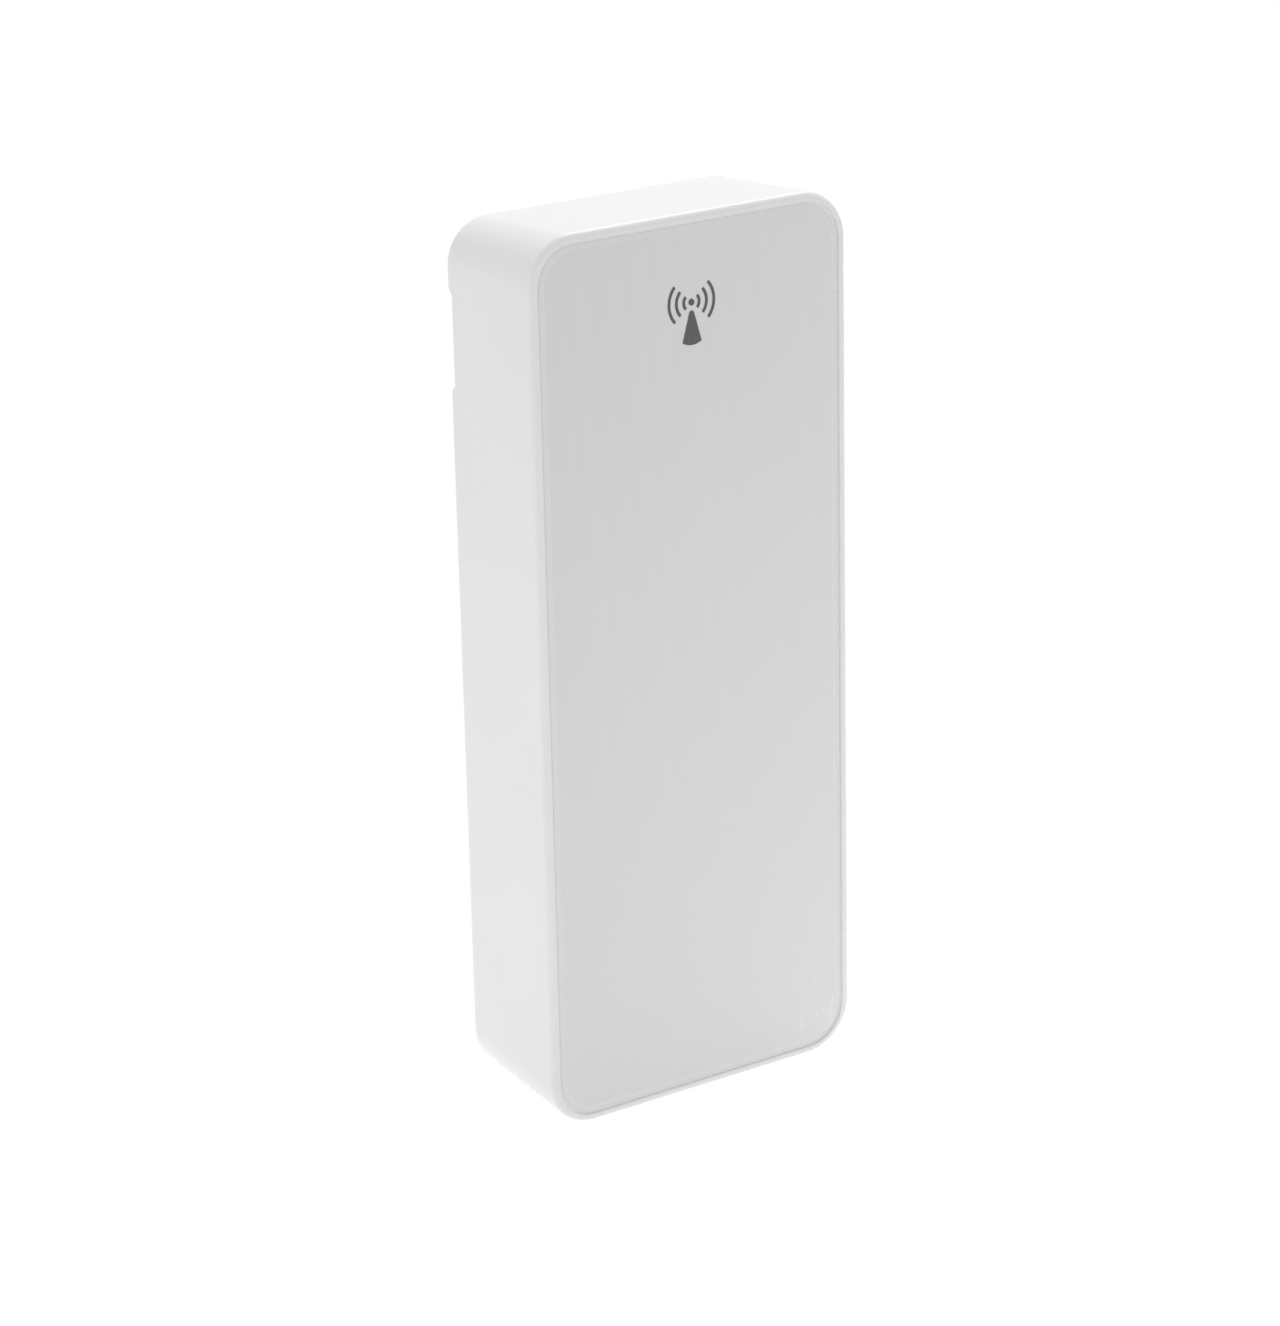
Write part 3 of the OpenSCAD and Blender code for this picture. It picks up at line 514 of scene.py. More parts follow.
def round_edges(piece, width):
    """Rounds every sharp edge and smooths the shading across it."""
    modify(piece, "BEVEL", width=width, segments=2, limit_method="ANGLE",
           angle_limit=math.radians(sharp_angle), use_clamp_overlap=True, harden_normals=False)
    only(piece)
    bpy.ops.object.shade_smooth_by_angle(angle=math.radians(sharp_angle))
    modify(piece, "WEIGHTED_NORMAL", keep_sharp=True)
    return piece


def place_piece(piece, name, body, slot, finish, *nodes):
    """Names a finished piece, gives it its material, ties it to its body and hides the packed nodes that it
    replaces.
    """
    piece.name = name
    piece.data.name = name
    piece.data.materials.clear()
    piece.data.materials.append(finish.material)
    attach(piece, body)
    if nodes:
        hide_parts(*nodes)
    print("%s: %d faces" % (name, len(piece.data.polygons)))
    return piece


print("edges that turn by more than %d degrees are rounded, most of them by %.2f or %.2f mm"
      % (sharp_angle, fine_rounding / mm, small_rounding / mm))

# %% [markdown]
# The front housing is a deep tray: front, sides, top and base in one moulding. By hand it could be
# a cube with rounded edges, but its corners are tighter at the back than at the front. So two flat
# rounded plates are drawn, one at each end, and the wall is bridged between them. The rounded rims
# are one bevel, and a weight on each edge says how much of it that edge gets: all of it at the back,
# less at the front, and least on the upright edges. The hollow is a second, smaller bridge cut out.

# %% Rounded plates and the bridge between them
corner_steps = 14


def rounded_plate(y, inset, size_y=None):
    """Flat plate with the case's outline at a depth. It can be drawn as large as at another depth."""
    half, low, high, corner = outline(y if size_y is None else size_y, inset)
    bpy.ops.mesh.primitive_plane_add(
        size=1, location=(0, y, (low + high) / 2), rotation=(math.pi / 2, 0, 0))
    plate = bpy.context.active_object
    plate.scale = (2 * half, high - low, 1)
    settle(plate)
    edit(plate)
    bpy.ops.mesh.select_mode(type="VERT")
    bpy.ops.mesh.select_all(action="SELECT")
    bpy.ops.mesh.bevel(offset=corner, segments=corner_steps, affect="VERTICES", clamp_overlap=False)
    leave()
    return plate


def bridged(front_plate, rear_plate):
    """Closed block between two plates that have as many points."""
    ends = [p.data.vertices[0].co.y for p in (front_plate, rear_plate)]
    only(front_plate, rear_plate)
    bpy.ops.object.join()
    edit(front_plate)
    bpy.ops.mesh.select_all(action="SELECT")
    bpy.ops.mesh.delete(type="ONLY_FACE")
    bpy.ops.mesh.select_mode(type="EDGE")
    bpy.ops.mesh.select_all(action="SELECT")
    bpy.ops.mesh.bridge_edge_loops()
    for y in ends:
        pick(front_plate, "edges", lies_at(1, y))
        bpy.ops.mesh.edge_face_add()
    face_outwards()
    return front_plate


def prism(y0, y1, inset, size_y):
    """Straight block with the outline that the case has at one depth."""
    return bridged(*[rounded_plate(y, inset, size_y) for y in (y0, y1)])


print("corner points of each plate:", 4 * (corner_steps + 1))

# %% Outside of the housing
upright_rounding = 0.5 * mm
level_rounding = 0.85 * mm
rear_rounding = 1.0 * mm
rounding_steps = 6
housing = bridged(rounded_plate(front_y, 0), rounded_plate(rear_y, 0))
points = housing.data.vertices
weights = housing.data.attributes.new("bevel_weight_edge", "FLOAT", "EDGE")
for edge, weight in zip(housing.data.edges, weights.data):
    start, end = (points[i].co for i in edge.vertices)
    if min(start.y, end.y) > rear_y - overrun:
        weight.value = 1.0
    elif max(start.y, end.y) < front_y + overrun:
        level = abs(end.x - start.x) / (end - start).length
        rounding = upright_rounding + (level_rounding - upright_rounding) * level ** 2
        weight.value = rounding / rear_rounding
modify(housing, "BEVEL", width=rear_rounding, segments=rounding_steps,
       limit_method="WEIGHT", use_clamp_overlap=False)
print("outside of the housing:", len(housing.data.polygons), "faces")

# %% [markdown]
# Inside, the tray is hollow, with a step at the back where the cover lies flush, and a shallow bed
# in front for the panel. The battery door's way runs out through the base, and the channel that
# keeps a wall screw clear runs right across the back, with a ramp at each end.

# %% Hollow, bed, door's way and channel
panel_low, panel_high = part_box("front_panel")
door_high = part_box("battery_door")[1]
bezel = 0.88 * mm
rim = 1.35 * mm
front_wall = 1.4 * mm
cover_thick = 1.6 * mm
bed_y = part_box("panel_adhesive")[1].y
inner_y = bed_y + front_wall
cover_y = rear_y - cover_thick
cut(housing, bridged(rounded_plate(inner_y, wall), rounded_plate(rear_y + overrun, wall)))
cut(housing, prism(front_y - overrun, bed_y, bezel, front_y))
cut(housing, prism(cover_y, rear_y + overrun, rim, rear_y))

door_gap = 0.2 * mm
tongue_gap = 0.15 * mm
tongue_wide = 0.8 * mm
tongue_thick = 0.7 * mm
tongue_half = door_high.x
door_half = tongue_half - tongue_wide
tongue_y = cover_y + tongue_thick + tongue_gap
way_top = door_high.z + door_gap
door_way = [
    (door_half + door_gap, tongue_y - overrun, rear_y + overrun),
    (tongue_half + door_gap, cover_y - tongue_gap, tongue_y),
]
for half, y0, y1 in door_way:
    cut(housing, block((-half, y0, -overrun), (half, y1, way_top)))

channel_top = 92.0 * mm
channel_low = 79.7 * mm
channel_deep = 1.4 * mm
ramp = 1.2 * mm


def channel_tool():
    """Bar right across the back, narrower at its bottom, which cuts the channel."""
    spill = ramp * overrun / channel_deep
    bar = block((-front_half - overrun, rear_y - channel_deep, channel_low - spill),
                (front_half + overrun, rear_y + overrun, channel_top + spill))
    edit(bar)
    pick(bar, "faces", lies_at(1, rear_y - channel_deep))
    flat = channel_top - channel_low - 2 * ramp
    whole = channel_top - channel_low + 2 * spill
    bpy.ops.transform.resize(value=(1, 1, flat / whole))
    leave()
    return bar


cut(housing, channel_tool())
print("housing hollowed:", len(housing.data.polygons), "faces")

# %% [markdown]
# Six posts stand inside for the screws. The four in the corners are tied to the side walls by a rib,
# as moulders do to keep them stiff without a thick lump that would sink. Four feet carry the case
# level on its sloping base. Each is a round bar that is fused to the wall, and the holes are cut.

# %% Bosses, feet and holes of the housing
screw_low, screw_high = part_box("cover_screws")
screw_head = 1.8 * mm
screw_shank = 0.8 * mm
shank_gap = 0.05 * mm
screw_x = screw_high.x - screw_head
screw_zs = (screw_low.z + screw_head, screw_high.z - screw_head)
boss = 2.0 * mm
board_low, board_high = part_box("circuit_board")
board_screw_low, board_screw_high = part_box("board_screws")
board_screw_head = 1.5 * mm
board_screw_shank = 0.7 * mm
board_screw_x = board_screw_high.x - board_screw_head
board_screw_z = (board_screw_low.z + board_screw_high.z) / 2
lamp_low, lamp_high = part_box("indicator_led")
lamp_z = (lamp_low.z + lamp_high.z) / 2
lamp_hole = 2.0 * mm
foot_radius = 1.3 * mm
foot_long = 2.0 * mm
foot_x = 11.1 * mm
foot_ys = (inner_y + 0.5 * mm, cover_y - 2.1 * mm)

for side in (-1, 1):
    for z in screw_zs:
        post = rod(side * screw_x, z, boss, inner_y - overrun, cover_y)
        rib_end = side * (screw_x + boss + wall / 2)
        rib = block((min(side * screw_x, rib_end), inner_y - overrun, z - boss / 2),
                    (max(side * screw_x, rib_end), cover_y, z + boss / 2))
        fuse(housing, fuse(post, rib))
        cut(housing, rod(side * screw_x, z, screw_shank + shank_gap, screw_low.y, cover_y + overrun))
    x = side * board_screw_x
    fuse(housing, rod(x, board_screw_z, boss, inner_y - overrun, board_low.y))
    cut(housing, rod(x, board_screw_z, board_screw_shank + shank_gap, inner_y, board_low.y + overrun))
    for y in foot_ys:
        bpy.ops.mesh.primitive_cylinder_add(vertices=48, radius=foot_radius, depth=foot_long,
                                            location=(side * foot_x, y, foot_long / 2))
        fuse(housing, settle(bpy.context.active_object))
cut(housing, rod(0, lamp_z, lamp_hole, bed_y - overrun, inner_y + overrun))
print("housing with its bosses:", len(housing.data.polygons), "faces")

# %% Finish of the housing
round_edges(housing, small_rounding)
place_piece(housing, "housing_shell", "sensor_body", "white_housing", case_white, "front_housing")

# %% [markdown]
# The panel is a flat lens of clear-faced plastic with a silver-grey print behind it, glued into the bed of
# the housing. Near its border the face falls away a little, and the clear edge lets in some light, so a
# slightly different margin runs all round. It is drawn as a rounded plate, inset twice for the margin and
# thickened, and its rim is moved back. A flange behind it closes the groove, which keeps the groove
# shallow, and the groove's floor is painted paler than the panel, as painted light against the shade in the
# groove. An attribute on the points says which lie on the margin and which on the groove's floor, and the
# material reads it, so that both keep their width round the corners.

# %% Front panel
panel_gap = 0.40 * mm
margin = 0.55 * mm
margin_slope = 0.15 * mm
margin_fade = 0.12 * mm
groove_deep = 0.22 * mm
panel_outline = bezel + panel_gap
panel = rounded_plate(panel_low.y, panel_outline, front_y)
edit(panel)
bpy.ops.mesh.select_all(action="SELECT")
bpy.ops.mesh.inset(thickness=margin, depth=0)
bpy.ops.mesh.inset(thickness=margin_fade, depth=0)
bpy.ops.mesh.select_all(action="SELECT")
bpy.ops.mesh.extrude_region_move(TRANSFORM_OT_translate={"value": (0, panel_high.y - panel_low.y, 0)})
leave()


def border_distance(point):
    """How far a point of the panel's face lies inside the panel's border."""
    half, low, high, corner = outline(front_y, panel_outline)
    across = abs(point.x) - (half - corner)
    along = abs(point.z - (low + high) / 2) - ((high - low) / 2 - corner)
    outside = math.hypot(max(across, 0), max(along, 0))
    return corner - outside - min(max(across, along), 0)


on_face = lies_at(1, panel_low.y)
edit(panel)
pick(panel, "verts", lambda point: on_face(point) and border_distance(point.co) < margin / 2)
bpy.ops.transform.translate(value=(0, margin_slope, 0))
face_outwards()
fuse(panel, prism(panel_low.y + groove_deep, panel_high.y, bezel, front_y))
round_edges(panel, fine_rounding)
marks = panel.data.attributes.new("margin", "FLOAT", "POINT")
for vertex, mark in zip(panel.data.vertices, marks.data):
    mark.value = 1.0 if border_distance(vertex.co) < margin + margin_fade / 2 else 0.0
    # Points on the groove's floor are marked 2, and there the material paints light: a paler floor in place
    # of the groove's shade.
    if vertex.co.y > panel_low.y + margin_slope + (groove_deep - margin_slope) / 2:
        mark.value = 2.0
print("points on the margin:", sum(1 for m in marks.data if m.value > 0))

# %% [markdown]
# The print's tone is painted: darker at the top left and paler towards the foot and the right. Towards the
# foot it is painted light, standing for the light that the bright table throws up at the panel. Close up it
# has a very fine grain, a faint upright streak from the printing, and the lens over it is smooth but not
# dead flat, so a slow wave bends the light a little. A few pale rub marks lie in the lower right corner,
# where the panel was held.

# %% Finish of the panel
silver_print = Finish("silver_panel")
grain = silver_print.noise(0.12 * mm, 2.0)
streak = silver_print.noise(1.2 * mm, 2.0, stretch=(1, 1, 0.04))
axes = silver_print.add("ShaderNodeSeparateXYZ")
silver_print.join(silver_print.place, axes.inputs[0])
# Painted light: the drift makes the tone paler towards the panel's foot, where the table's light falls, and
# paler towards the right.
drift = silver_print.add("ShaderNodeMath", operation="ADD")
paler_to_the_right = silver_print.span(axes.outputs["X"], 0.0, 0.5, panel_low.x, panel_high.x)
painted_light_from_below = silver_print.span(axes.outputs["Z"], 0.5, 0.0, panel_low.z, panel_high.z)
silver_print.join(paler_to_the_right, drift.inputs[0])
silver_print.join(painted_light_from_below, drift.inputs[1])
darker = silver_print.blend(grain, grey(0.723), grey(0.741))
paler = silver_print.blend(grain, grey(0.789), grey(0.809))
tone = silver_print.blend(drift.outputs[0], darker, paler)
tone = silver_print.blend(silver_print.span(streak, 0.0, 0.4, 0.4, 0.8), tone, grey(0.79))
edge = silver_print.add("ShaderNodeAttribute", attribute_name="margin")
on_margin = silver_print.span(edge.outputs["Fac"], 0.0, 1.0)
tone = silver_print.blend(on_margin, tone, grey(0.80))
# Painted light: the groove's floor is made paler than the panel, to lift the shade in the groove.
groove_painted_light = silver_print.span(edge.outputs["Fac"], 0.0, 1.0, 1.0, 2.0)
tone = silver_print.blend(groove_painted_light, tone, grey(0.88))

rub_corner = Vector((16.6, 0, 5.0)) * mm
rub_near = 2.5 * mm
rub_far = 6.5 * mm
offset = silver_print.add("ShaderNodeVectorMath", operation="DISTANCE")
offset.inputs[1].default_value = (rub_corner.x, panel_low.y, rub_corner.z)
silver_print.join(silver_print.place, offset.inputs[0])
near = silver_print.span(offset.outputs["Value"], 1.0, 0.0, rub_near, rub_far)
blots = silver_print.noise(1.0 * mm, 3.0, stretch=(1, 1, 0.5))
speck = silver_print.span(blots, 0.0, 1.0, 0.60, 0.72)
rub = silver_print.add("ShaderNodeMath", operation="MULTIPLY", use_clamp=True)
silver_print.join(near, rub.inputs[0])
silver_print.join(speck, rub.inputs[1])
tone = silver_print.blend(rub.outputs[0], tone, grey(0.87))
silver_print.set("Base Color", tone)
silver_print.set("Roughness", silver_print.span(rub.outputs[0], 0.30, 0.55))
silver_print.set("Specular IOR Level", 0.5)
wave = silver_print.bump(silver_print.noise(14 * mm, 0.0), 0.03 * mm, 0.4)
silver_print.set("Normal", silver_print.bump(grain, 0.002 * mm, 1.0, after=wave))
place_piece(panel, "panel_lens", "sensor_body", "silver_panel", silver_print, "front_panel")

# %% [markdown]
# The figure on the panel is screen-printed in dark grey ink. Its solids are already as fine as the
# print is, so they stay, and only get the ink: nearly matt, with a slight unevenness in density.

# %% Printed figure and the sheet behind the panel


def dress(node, finish):
    """Gives a packed node its finish and leaves its shape alone."""
    piece = frame["nodes"][node]
    piece.data.materials.clear()
    piece.data.materials.append(finish.material)


ink = Finish("dark_ink")
density = ink.noise(0.15 * mm, 3.0)
ink.set("Base Color", ink.blend(density, grey(0.085), grey(0.115)))
ink.set("Roughness", ink.span(density, 0.40, 0.60))
ink.set("Normal", ink.bump(density, 0.004 * mm))
dress("panel_pictogram", ink)

tape = Finish("adhesive_tape")
fibre = tape.noise(0.4 * mm, 4.0, stretch=(1, 1, 0.2))
tape.set("Base Color", tape.blend(fibre, grey(0.72), grey(0.80)))
tape.set("Roughness", tape.span(fibre, 0.6, 0.8))
tape.set("Normal", tape.bump(fibre, 0.01 * mm))
dress("panel_adhesive", tape)
print("ink and tape dressed")

# %% [markdown]
# The rear cover and the battery door are flat moulded parts full of holes, guides and steps. Their
# packed shapes are right to a hundredth of a millimetre, but every edge is knife-sharp, which no
# moulding is. So a copy of each is taken, its loose triangles are merged, its flat faces are joined,
# and its edges are rounded by a bevel, as a moulder would break them.

# %% Copies with broken edges


def clean_copy(node):
    """Copy of a packed node whose loose triangles are merged into flat faces."""
    source = frame["nodes"][node]
    only(source)
    bpy.ops.object.duplicate()
    piece = bpy.context.active_object
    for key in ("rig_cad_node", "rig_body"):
        if key in piece:
            del piece[key]
    piece.parent = None
    edit(piece)
    bpy.ops.mesh.select_all(action="SELECT")
    bpy.ops.mesh.remove_doubles(threshold=0.0005 * mm)
    bpy.ops.mesh.dissolve_limited(angle_limit=math.radians(0.5))
    leave()
    return piece


def broken_edges(node, width):
    """Copy of a packed node with small roundings on its edges."""
    return round_edges(clean_copy(node), width)


cover = broken_edges("rear_cover", small_rounding)
place_piece(cover, "rear_cover_shell", "sensor_body", "white_cover", cover_white, "rear_cover")
door_rounding = 0.15 * mm
door = broken_edges("battery_door", door_rounding)
place_piece(door, "battery_door_shell", "battery_door", "white_cover", cover_white, "battery_door")

# %% [markdown]
# Screws, cells and buttons are turned shapes. On a real lathe, and in Blender, such a shape grows
# from one end to the other: a filled circle is extruded to the next height and scaled to the next
# radius, station by station. It is turned upright at the origin, then laid in its place.

# %% Turned shapes


def turned(stations, sides=48):
    """Closed round shape along +Z at the origin, through pairs of radius and height."""
    radius, height = stations[0]
    bpy.ops.mesh.primitive_circle_add(
        vertices=sides, radius=radius, location=(0, 0, height), fill_type="NGON")
    made = settle(bpy.context.active_object)
    edit(made)
    bpy.ops.mesh.select_all(action="SELECT")
    for next_radius, next_height in stations[1:]:
        bpy.ops.mesh.extrude_region_move(TRANSFORM_OT_translate={"value": (0, 0, next_height - height)})
        grow = next_radius / radius
        bpy.ops.transform.resize(value=(grow, grow, 1), center_override=(0, 0, next_height))
        radius, height = next_radius, next_height
    face_outwards()
    return made


def dome(radius, high, base, degrees):
    """Stations of a round top that starts at a height, one for each of these angles."""
    angles = [math.radians(d) for d in degrees]
    return [(radius * math.cos(a), base + high * math.sin(a)) for a in angles]


def lay(piece, place, turn=(0, 0, 0)):
    """Turns a shape that stands at the origin and moves it to its place."""
    piece.rotation_euler = turn
    piece.location = place
    return settle(piece)


def soft_shading(piece, angle=sharp_angle):
    """Smooths the shading, but not across edges that turn by more than the angle."""
    only(piece)
    bpy.ops.object.shade_smooth_by_angle(angle=math.radians(angle))
    return piece


def joined(*pieces):
    """Makes one object of several, without fusing their meshes."""
    only(*pieces)
    bpy.ops.object.join()
    return pieces[0]


rear_facing = (-math.pi / 2, 0, 0)
print("a shape that stands on +Z is laid along +Y by a turn of", rear_facing)

# %% [markdown]
# Four screws hold the cover, and two smaller ones the board. Each has a low domed head with a cross
# slot, and a thread. The thread could be a true helix, but it is hidden in its post, so rings of the
# same pitch do. One screw is made for each size, and every other one is a copy of it.

# %% Screws
head_high = 0.85 * mm
counterbore = 1.0 * mm
pitch = 0.5 * mm
thread_root = 0.78


def thread(radius, length):
    """Stations of a pointed thread below the head."""
    rings = int((length - pitch) / pitch)
    stations = [(0.15 * mm, -length)]
    for i in range(rings):
        base = -length + pitch + i * pitch
        stations += [(radius * thread_root, base), (radius, base + pitch / 2)]
    return stations + [(radius * thread_root, -pitch / 4), (radius, 0)]


def screw_shape(head, shank, length):
    """Screw that stands on its tip, with its seat at height zero."""
    profile = ((0.96, 0), (1, 0.15), (1, 0.55), (0.93, 0.80), (0.78, 0.94), (0.55, 1))
    top = [(head * share, head_high * rise) for share, rise in profile]
    made = turned(thread(shank, length) + top)
    slot_wide = head / 4
    slot_long = head * 1.25
    for wide, long in ((slot_wide, slot_long), (slot_long, slot_wide)):
        cut(made, block((-wide / 2, -long / 2, head_high / 2), (wide / 2, long / 2, head_high + overrun)))
    return soft_shading(made, 40)


def copy_of(piece):
    """Copy with a mesh of its own."""
    only(piece)
    bpy.ops.object.duplicate()
    return bpy.context.active_object


def screw_set(shape, places):
    """A screw at each place, every one turned by another angle, as a screwdriver leaves them."""
    screws = [shape] + [copy_of(shape) for _ in places[1:]]
    for number, (one, place) in enumerate(zip(screws, places)):
        lay(one, place, (-math.pi / 2, math.radians(25 + 37 * number), 0))
    return joined(*screws)


steel = metal("screw_steel", (0.10 * mm, 3.0, (1, 0.2, 1)),
              ((0.50, 0.50, 0.49), (0.62, 0.62, 0.61)), (0.26, 0.42), stain=(1.4 * mm, 2.0))

seat_y = rear_y - counterbore
cover_screws = screw_set(screw_shape(screw_head, screw_shank, seat_y - screw_low.y),
                         [(x, seat_y, z) for x in (-screw_x, screw_x) for z in screw_zs])
place_piece(cover_screws, "cover_screw_set", "sensor_body", "screw_steel", steel, "cover_screws")
board_screw_long = board_high.y - board_screw_low.y
board_screws = screw_set(screw_shape(board_screw_head, board_screw_shank, board_screw_long),
                         [(x, board_high.y, board_screw_z) for x in (-board_screw_x, board_screw_x)])
place_piece(board_screws, "board_screw_set", "sensor_body", "screw_steel", steel, "board_screws")

# %% [markdown]
# Each cell is a plated steel can in a printed plastic sleeve. The can shows at both ends: a flat
# foot with a pressed ring, and a shoulder with the nub. The sleeve is an open tube whose ends are
# shrunk over the can's edges, and it gets its thickness by a Solidify modifier. The two cells lie
# head to tail, as a series circuit needs.

# %% Cells
cell_low, cell_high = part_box("battery_left")
cell_radius = (cell_high.x - cell_low.x) / 2
cell_long = cell_high.z - cell_low.z
cell_y = (cell_low.y + cell_high.y) / 2
nub_high = 1.0 * mm
nub_radius = 1.9 * mm
sleeve_thick = 0.12 * mm
shoulder = cell_long - nub_high


def cell_can():
    """Steel can with its foot at height zero and its nub on top."""
    can = cell_radius - sleeve_thick
    return soft_shading(turned([
        (3.2 * mm, 0), (3.3 * mm, 0.12 * mm), (3.8 * mm, 0.12 * mm), (3.9 * mm, 0), (can - 0.5 * mm, 0),
        (can - 0.2 * mm, 0.06 * mm), (can - 0.04 * mm, 0.25 * mm), (can, 0.5 * mm),
        (can, shoulder - 0.5 * mm), (can - 0.04 * mm, shoulder - 0.25 * mm),
        (can - 0.2 * mm, shoulder - 0.06 * mm), (can - 0.5 * mm, shoulder),
        (3.6 * mm, shoulder), (3.4 * mm, shoulder - 0.25 * mm),
        (nub_radius + 0.25 * mm, shoulder - 0.25 * mm), (nub_radius + 0.06 * mm, shoulder - 0.1 * mm),
        (nub_radius, shoulder + 0.1 * mm), (nub_radius, cell_long - 0.2 * mm),
        (nub_radius - 0.06 * mm, cell_long - 0.06 * mm), (nub_radius - 0.2 * mm, cell_long),
    ], sides=64), 30)


def cell_sleeve():
    """Printed tube whose ends are shrunk over the can's edges."""
    bpy.ops.mesh.primitive_cylinder_add(vertices=64, radius=cell_radius, depth=shoulder - 1.0 * mm,
                                        end_fill_type="NOTHING", location=(0, 0, shoulder / 2))
    tube = settle(bpy.context.active_object)
    for end, out in ((0.5 * mm, -1), (shoulder - 0.5 * mm, 1)):
        edit(tube)
        pick(tube, "edges", lies_at(2, end))
        z = end
        radius = cell_radius
        for step, next_radius in ((0.25, cell_radius - 0.05 * mm), (0.16, cell_radius - 0.22 * mm),
                                  (0.05, cell_radius - 0.45 * mm)):
            bpy.ops.mesh.extrude_edges_move(TRANSFORM_OT_translate={"value": (0, 0, out * step * mm)})
            z += out * step * mm
            shrink = next_radius / radius
            bpy.ops.transform.resize(value=(shrink, shrink, 1), center_override=(0, 0, z))
            radius = next_radius
        leave()
    edit(tube)
    face_outwards()
    modify(tube, "SOLIDIFY", thickness=sleeve_thick * 0.8, offset=-1)
    return soft_shading(tube, 30)


print("a cell is %.1f mm long and %.1f mm thick" % (cell_long / mm, 2 * cell_radius / mm))

# %% [markdown]
# The sleeve is printed plastic film: slate, with a pale band at the nub's end, and the plus and minus
# signs that show which way a cell goes in. The signs could be a picture, but boxes compared along
# two axes draw them just as well, and stay sharp at any size.

# %% Finish of the cells
can_plate = metal("cell_plate", (0.3 * mm, 4.0), ((0.58, 0.57, 0.55), (0.70, 0.69, 0.67)), (0.22, 0.36))
band_middle = cell_long - 6.5 * mm
band_half = 4.0 * mm
line_middle = cell_long - 11.8 * mm
line_half = 0.35 * mm
minus_middle = 4.5 * mm
arm = 1.3 * mm
bar = 0.3 * mm


def sleeve_print(name, centre_x, foot_z, up):
    """Slate sleeve with a pale band and a plus sign at the nub's end, and a minus sign at the foot."""
    finish = Finish(name)
    axes = finish.add("ShaderNodeSeparateXYZ")
    finish.join(finish.place, axes.inputs[0])

    def within(axis, middle, half):
        """One where a coordinate lies this close to a middle, and else zero."""
        gap = finish.add("ShaderNodeMath", operation="COMPARE")
        finish.join(axes.outputs[axis], gap.inputs[0])
        gap.inputs[1].default_value = middle
        gap.inputs[2].default_value = half
        return gap.outputs[0]

    def both(first, second, operation="MULTIPLY"):
        """One where both are one, or with ADD where either is."""
        node = finish.add("ShaderNodeMath", operation=operation, use_clamp=True)
        finish.join(first, node.inputs[0])
        finish.join(second, node.inputs[1])
        return node.outputs[0]

    plus_z = foot_z + up * band_middle
    minus_z = foot_z + up * minus_middle
    upright = both(within("X", centre_x, bar), within("Z", plus_z, arm))
    level = both(within("X", centre_x, arm), within("Z", plus_z, bar))
    minus = both(within("X", centre_x, arm), within("Z", minus_z, bar))
    signs = both(both(upright, level, "ADD"), minus, "ADD")
    signs = both(signs, within("Y", cell_y + cell_radius, cell_radius))
    band = within("Z", plus_z, band_half)
    line = within("Z", foot_z + up * line_middle, line_half)
    speck = finish.noise(0.2 * mm, 2.0)
    slate = finish.blend(speck, (0.050, 0.062, 0.080), (0.060, 0.074, 0.094))
    pale = finish.blend(speck, (0.60, 0.61, 0.60), (0.66, 0.67, 0.66))
    tone = finish.blend(both(band, line, "ADD"), slate, pale)
    sign_tone = finish.blend(band, (0.62, 0.63, 0.62), (0.055, 0.068, 0.088))
    finish.set("Base Color", finish.blend(signs, tone, sign_tone))
    crease = finish.noise(2.5 * mm, 2.0, stretch=(1, 1, 0.15))
    finish.set("Roughness", finish.span(crease, 0.24, 0.34))
    finish.set("Normal", finish.bump(crease, 0.02 * mm, 0.5))
    return finish


for name, up in (("battery_left", 1), ("battery_right", -1)):
    low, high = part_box(name)
    x = (low.x + high.x) / 2
    foot_z = low.z if up > 0 else high.z
    turn = (0, 0, 0) if up > 0 else (math.pi, 0, 0)
    can = lay(cell_can(), (x, cell_y, foot_z), turn)
    place_piece(can, name + "_can", "sensor_body", "contact_steel", can_plate, name)
    sleeve = lay(cell_sleeve(), (x, cell_y, foot_z), turn)
    place_piece(sleeve, name + "_sleeve", "sensor_body", "cell_wrap",
                sleeve_print(name + "_print", x, foot_z, up), name)

# %% [markdown]
# The contacts are stamped from plated spring steel: flat plates with a pressed dimple, and springs
# wound from round wire, wide at the plate and narrow at the cell. A spring could be a swept circle
# with the Screw modifier, but that keeps one radius, so its line is computed turn by turn and the
# curve is given the wire's thickness. Its first and last turns lie flat, as a wound spring's do.

# %% Contacts
bay_low, bay_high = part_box("bridge_contact")
sheet_thick = 0.4 * mm
sheet_half = 4.2 * mm
dimple_radius = 1.5 * mm
dimple_high = 0.5 * mm
wire_radius = 0.2 * mm
spring_high = 3.2 * mm
spring_wide = 3.4 * mm
spring_narrow = 1.7 * mm
spring_flat = 0.12
curls = 3
turn_points = 20
cell_x = abs(cell_low.x + cell_radius)


def wire_along(points, radius):
    """Round wire along a list of points, as a closed mesh."""
    line = bpy.data.curves.new("wire", "CURVE")
    line.dimensions = "3D"
    line.bevel_depth = radius
    line.bevel_resolution = 4
    line.use_fill_caps = True
    spline = line.splines.new("POLY")
    spline.points.add(len(points) - 1)
    for point, place in zip(spline.points, points):
        point.co = (*place, 1)
    made = bpy.data.objects.new("wire", line)
    scene.collection.objects.link(made)
    only(made)
    bpy.ops.object.convert(target="MESH")
    made = bpy.context.active_object
    merge_points(made)
    return soft_shading(made, 60)


